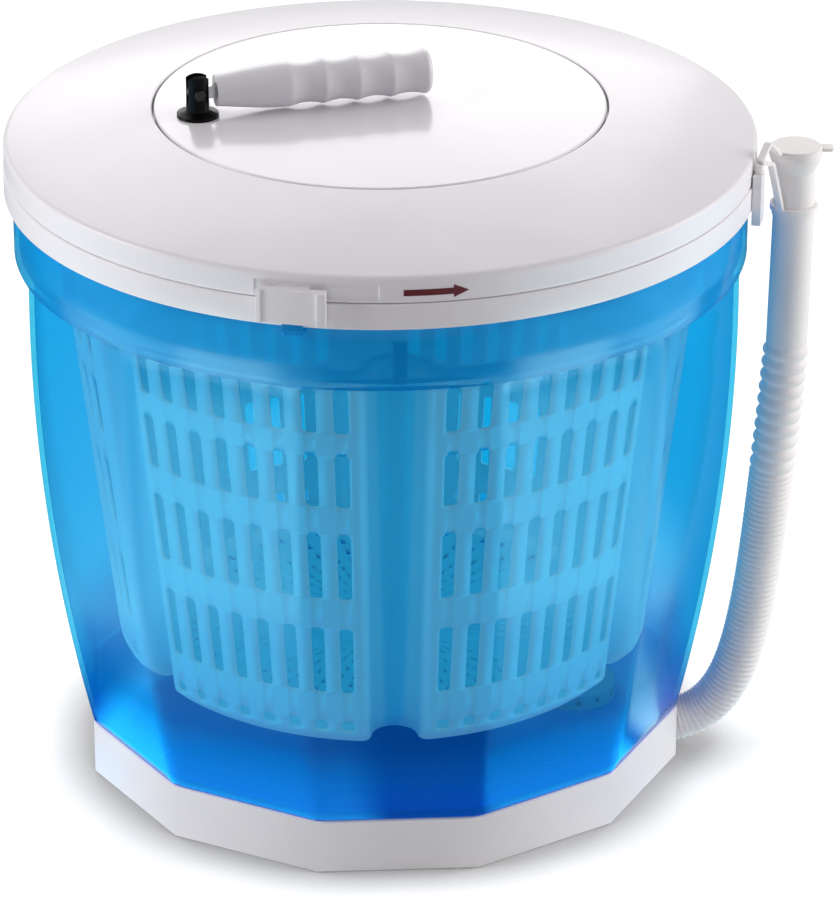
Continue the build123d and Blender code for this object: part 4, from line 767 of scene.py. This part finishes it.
# Base, latches, hanger and clip
dressed("base", width=0.9, steps=3, finish=base_white)
bar_inner, bar_outer, bar_span, bar_low, bar_high = 184.9, 186.3, 0.75, 302.1, 318.3
for node, start in (("front_latch", -110.35), ("rear_latch", 69.65)):
    dressed(node, width=0.45)
    arc_bar(node + "_end_bar", bar_inner, bar_outer, start, bar_span, bar_low, bar_high,
            white_gloss, node, width=0.35)
for node in ("hose_hanger", "drain_outlet"):
    dressed(node, width=0.4)


# Drain hose, the same route as the frame's own hose, in metres
hose_y = -0.026
hose_route = [
    (0.1120, 0.0130), (0.1360, 0.0130), (0.1510, 0.0155), (0.1623, 0.0223),
    (0.1706, 0.0334), (0.1770, 0.0500), (0.1824, 0.0760), (0.1863, 0.1080),
    (0.1896, 0.1460), (0.1932, 0.1880), (0.1965, 0.2390), (0.1965, 0.2870),
]


def hose_line():
    """Points of the hose's smooth line, read from its own spline, in metres."""
    data = bpy.data.curves.new("hose_route", "CURVE")
    data.dimensions = "3D"
    data.resolution_u = 40
    spline = data.splines.new("NURBS")
    spline.points.add(len(hose_route) - 1)
    for point, (x, z) in zip(spline.points, hose_route):
        point.co = (x, hose_y, z, 1.0)
    spline.order_u = 3
    spline.use_endpoint_u = True
    holder = bpy.data.objects.new("hose_route", data)
    bpy.context.scene.collection.objects.link(holder)
    line = bpy.data.meshes.new_from_object(holder)
    points = np.empty(len(line.vertices) * 3)
    line.vertices.foreach_get("co", points)
    bpy.data.objects.remove(holder)
    bpy.data.meshes.remove(line)
    return points.reshape(-1, 3)


def make_hose():
    """Ribbed hose: a radius along its line, ribs as rounded waves, carried round the line, with its bore."""
    line = hose_line()
    steps = np.linalg.norm(np.diff(line, axis=0), axis=1)
    along = np.concatenate([[0.0], np.cumsum(steps)])
    length = along[-1]
    cuff_length, big_count, big_pitch = 0.068, 10, 0.0067
    cuff_start = length - cuff_length
    big_start = cuff_start - big_count * big_pitch
    fine_start, fine_count = 0.012, 63
    bore, plain = 0.0086, 0.0100
    fine_root, fine_depth = 0.0101, 0.0009
    big_root, big_depth = 0.0096, 0.00165
    place = np.concatenate([[0.0, fine_start * 0.98], np.linspace(fine_start, big_start, fine_count * 10 + 1),
                            np.linspace(big_start, cuff_start, big_count * 14 + 1)[1:],
                            [cuff_start + 0.0006, cuff_start + 0.0012, length]])
    fine = (place >= fine_start) & (place <= big_start)
    big = (place > big_start) & (place <= cuff_start)
    fine_wave = 0.5 - 0.5 * np.cos((place - fine_start) / (big_start - fine_start) * fine_count * 2 * pi)
    big_wave = 0.5 - 0.5 * np.cos((place - big_start) / big_pitch * 2 * pi)
    radius = np.full(len(place), plain)
    radius[fine] = fine_root + fine_depth * fine_wave[fine] ** 0.7
    radius[big] = big_root + big_depth * big_wave[big] ** 0.8
    place = np.concatenate([place, place[::-24], [0.0]])
    radius = np.concatenate([radius, np.full(len(place) - len(radius), bore)])
    centre = np.stack([np.interp(place, along, line[:, axis]) for axis in range(3)], axis=1)
    slope = np.gradient(line, axis=0)
    ahead = np.stack([np.interp(place, along, slope[:, axis]) for axis in range(3)], axis=1)
    ahead /= np.linalg.norm(ahead, axis=1)[:, None]
    side = np.array([0.0, 1.0, 0.0])
    across = np.cross(ahead, side)
    angles = np.linspace(0.0, 2 * pi, 40, endpoint=False)
    points = (centre[:, None] + radius[:, None, None] * (
        np.cos(angles)[None, :, None] * side + np.sin(angles)[None, :, None] * across[:, None]))
    piece = mesh_piece("drain_hose_ribbed", points / MM, grid_faces(len(place), len(angles), True, True),
                       hose_soft, "tub", sharp=60.0)
    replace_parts(piece, "drain_hose")
    return piece, line, length


connector = dressed("hose_connector", width=0.5)
plug = dressed("drain_plug", width=0.4)
clip = dressed("hose_clip", width=0.35)
hose, hose_points, hose_length = make_hose()


# Arrow on the rim
def make_arrow():
    """Plain arrow printed on the rim: shaft and head as strips that follow the round of the lid."""
    radius, height, depth = lid_radius + 0.12, 316.9, 0.3
    tail, neck = -89.6, -82.4

    def strip(name, stations):
        """A strip from (bearing, half height) stations, closed by an inner layer."""
        upper = [(bearing, height + half) for bearing, half in stations]
        outer = upper + [(bearing, height - half) for bearing, half in stations[::-1]]
        count = len(stations)
        points, faces = [], []
        for layer in (radius, radius - depth):
            points += [(layer * cos(radians(a)), layer * sin(radians(a)), z) for a, z in outer]
        total = len(outer)
        for step in range(count - 1):
            faces.append([step, step + 1, total - 2 - step, total - 1 - step])
            faces.append([total + step, total + total - 1 - step, total + total - 2 - step, total + step + 1])
        for step in range(total):
            after = (step + 1) % total
            faces.append([step, total + step, total + after, after])
        mesh_piece(name, points, faces, arrow_red, "lid", sharp=20.0)

    strip("arrow_shaft", [(angle, 1.5) for angle in np.linspace(tail, neck, 9)])
    strip("arrow_head", [(neck, 3.1), (neck + 1.1, 1.6), (neck + 2.2, 0.05)])


make_arrow()


# Stage, light and camera
def make_stage():
    """Pale floor that keeps part of the real shadow, with a painted contact shadow in the glow that the
    camera sees.

    Gloss sees it as lit cards, by bearing and distance, which give the clear facets their tones."""
    mesh = bpy.data.meshes.new("floor")
    reach = 6.0
    corners = [(-reach, -reach, 0), (reach, -reach, 0), (reach, reach, 0), (-reach, reach, 0)]
    mesh.from_pydata(corners, [], [(0, 1, 2, 3)])
    floor = bpy.data.objects.new("floor", mesh)
    bpy.context.scene.collection.objects.link(floor)
    sheet = Finish("pale_floor")
    path = sheet.node("ShaderNodeLightPath")
    east, north, _ = sheet.axes()
    radius = (east * east + north * north) ** 0.5
    far = sheet.range(radius, 0.20, 0.27)
    outer = sheet.range(radius, 0.70, 0.75)

    def lobe(middle, half, soft):
        """One within a spread of bearings round the machine, in degrees, and softly nothing outside it."""
        along = (east * cos(radians(middle)) + north * sin(radians(middle))) / radius
        return sheet.range(along, cos(radians(half + soft)), cos(radians(half - soft)))

    pale = lobe(-8.0, 7.0, 3.0)
    near = lobe(-134.5, 40.5, 3.0) * 5.5 + lobe(-43.0, 23.0, 3.0) * 4.5 + pale * 2.4
    haze = (lobe(-136.0, 14.0, 4.0) + lobe(-40.0, 13.0, 4.0)) * sheet.range(radius, 0.29, 0.35)
    middle = lobe(-155.0, 36.0, 12.0) * 3.6 + lobe(-22.0, 34.0, 4.0) * 3.2 + haze * 6.5
    beyond = lobe(-158.0, 35.0, 20.0) * 1.9 + lobe(-20.0, 35.0, 20.0) * 2.9
    # Painted contact shadow: the floor's glow that the camera sees dims where ambient occlusion finds the
    # machine within 36 mm.
    open_sky = sheet.node("ShaderNodeAmbientOcclusion", {"samples": 8}, {"Distance": 0.036})
    clear_of = sheet.range(sheet.out(open_sky, "AO"), 0.5, 0.95, 0.2, 1.0)
    glow = sheet.node("ShaderNodeEmission", None, {"Color": (1, 1, 1, 1), "Strength": clear_of * 1.45})
    hue = sheet.mix(far + pale * (1.0 - far), (0.02, 0.52, 1.0, 1.0),
                    sheet.mix(outer, (0.45, 0.85, 0.85, 1.0), (0.24, 0.72, 0.88, 1.0)))
    spread = near * (1.0 - far) + (middle * (1.0 - outer) + beyond * outer) * far
    card = sheet.node("ShaderNodeEmission", None, {"Color": hue, "Strength": 0.15 + spread})
    matt = sheet.node("ShaderNodeBsdfDiffuse", None, {"Color": (0.88, 0.88, 0.88, 1)})
    camera_share = 0.6
    seen = sheet.blend(sheet.out(path, "Is Camera Ray") * camera_share, matt, glow)
    mesh.materials.append(sheet.close(sheet.blend(sheet.out(path, "Is Glossy Ray"), seen, card)))


def make_surround():
    """Pale surround: full to the camera, less to gloss, and dim as a light."""
    sheet = Finish("surround", bpy.data.worlds, "ShaderNodeOutputWorld")
    path = sheet.node("ShaderNodeLightPath")
    seen = sheet.node("ShaderNodeBackground", None, {"Strength": 1.0})
    mirrored = sheet.node("ShaderNodeBackground", None, {"Strength": 0.7})
    lit = sheet.node("ShaderNodeBackground", None, {"Color": (1.0, 0.985, 1.0, 1.0), "Strength": 0.27})
    unseen = sheet.blend(sheet.out(path, "Is Glossy Ray"), lit, mirrored)
    bpy.context.scene.world = sheet.close(sheet.blend(sheet.out(path, "Is Camera Ray"), unseen, seen))


def lamp(name, place, aim, size, watts):
    """Soft square lamp at a place, aimed at a point, with its side in metres."""
    data = bpy.data.lights.new(name, "AREA")
    data.shape = "SQUARE"
    data.size = size
    data.energy = watts
    item = bpy.data.objects.new(name, data)
    item.location = place
    item.rotation_euler = (Vector(aim) - Vector(place)).to_track_quat("-Z", "Y").to_euler()
    bpy.context.scene.collection.objects.link(item)


make_stage()
make_surround()
lamp("left", place=(-1.9, -0.1, 0.95), aim=(0, 0, 0.15), size=1.0, watts=23.0)
lamp("right", place=(1.9, 0.0, 0.95), aim=(0, 0, 0.15), size=1.5, watts=27.5)
lamp("back", place=(0.0, 0.95, 0.80), aim=(0, 0.1, 0.3), size=0.8, watts=4.6)

camera_turn, camera_tilt = radians(3.27), radians(25.29)
camera_distance, camera_focal, picture_height = 2.4235, 4919.0, 900.0  # metres, then pixels
camera_right = Vector((cos(camera_turn), -sin(camera_turn), 0.0))
camera_slide = camera_right * 0.0177
camera_aim = Vector((0.0, 0.0, 0.15473)) + camera_slide
camera_way = Vector((-sin(camera_turn) * cos(camera_tilt), -cos(camera_turn) * cos(camera_tilt),
                     sin(camera_tilt)))
camera_data = bpy.data.cameras.new("camera")
camera_data.sensor_width = 36.0
camera_data.sensor_fit = "AUTO"
camera_data.lens = camera_focal / picture_height * camera_data.sensor_width
camera_data.clip_start = 0.1
camera_data.clip_end = 60.0
camera = bpy.data.objects.new("camera", camera_data)
camera.location = camera_aim + camera_way * camera_distance
camera.rotation_euler = (-camera_way).to_track_quat("-Z", "Y").to_euler()
bpy.context.scene.collection.objects.link(camera)
bpy.context.scene.camera = camera
bpy.context.scene.view_settings.view_transform = "Standard"
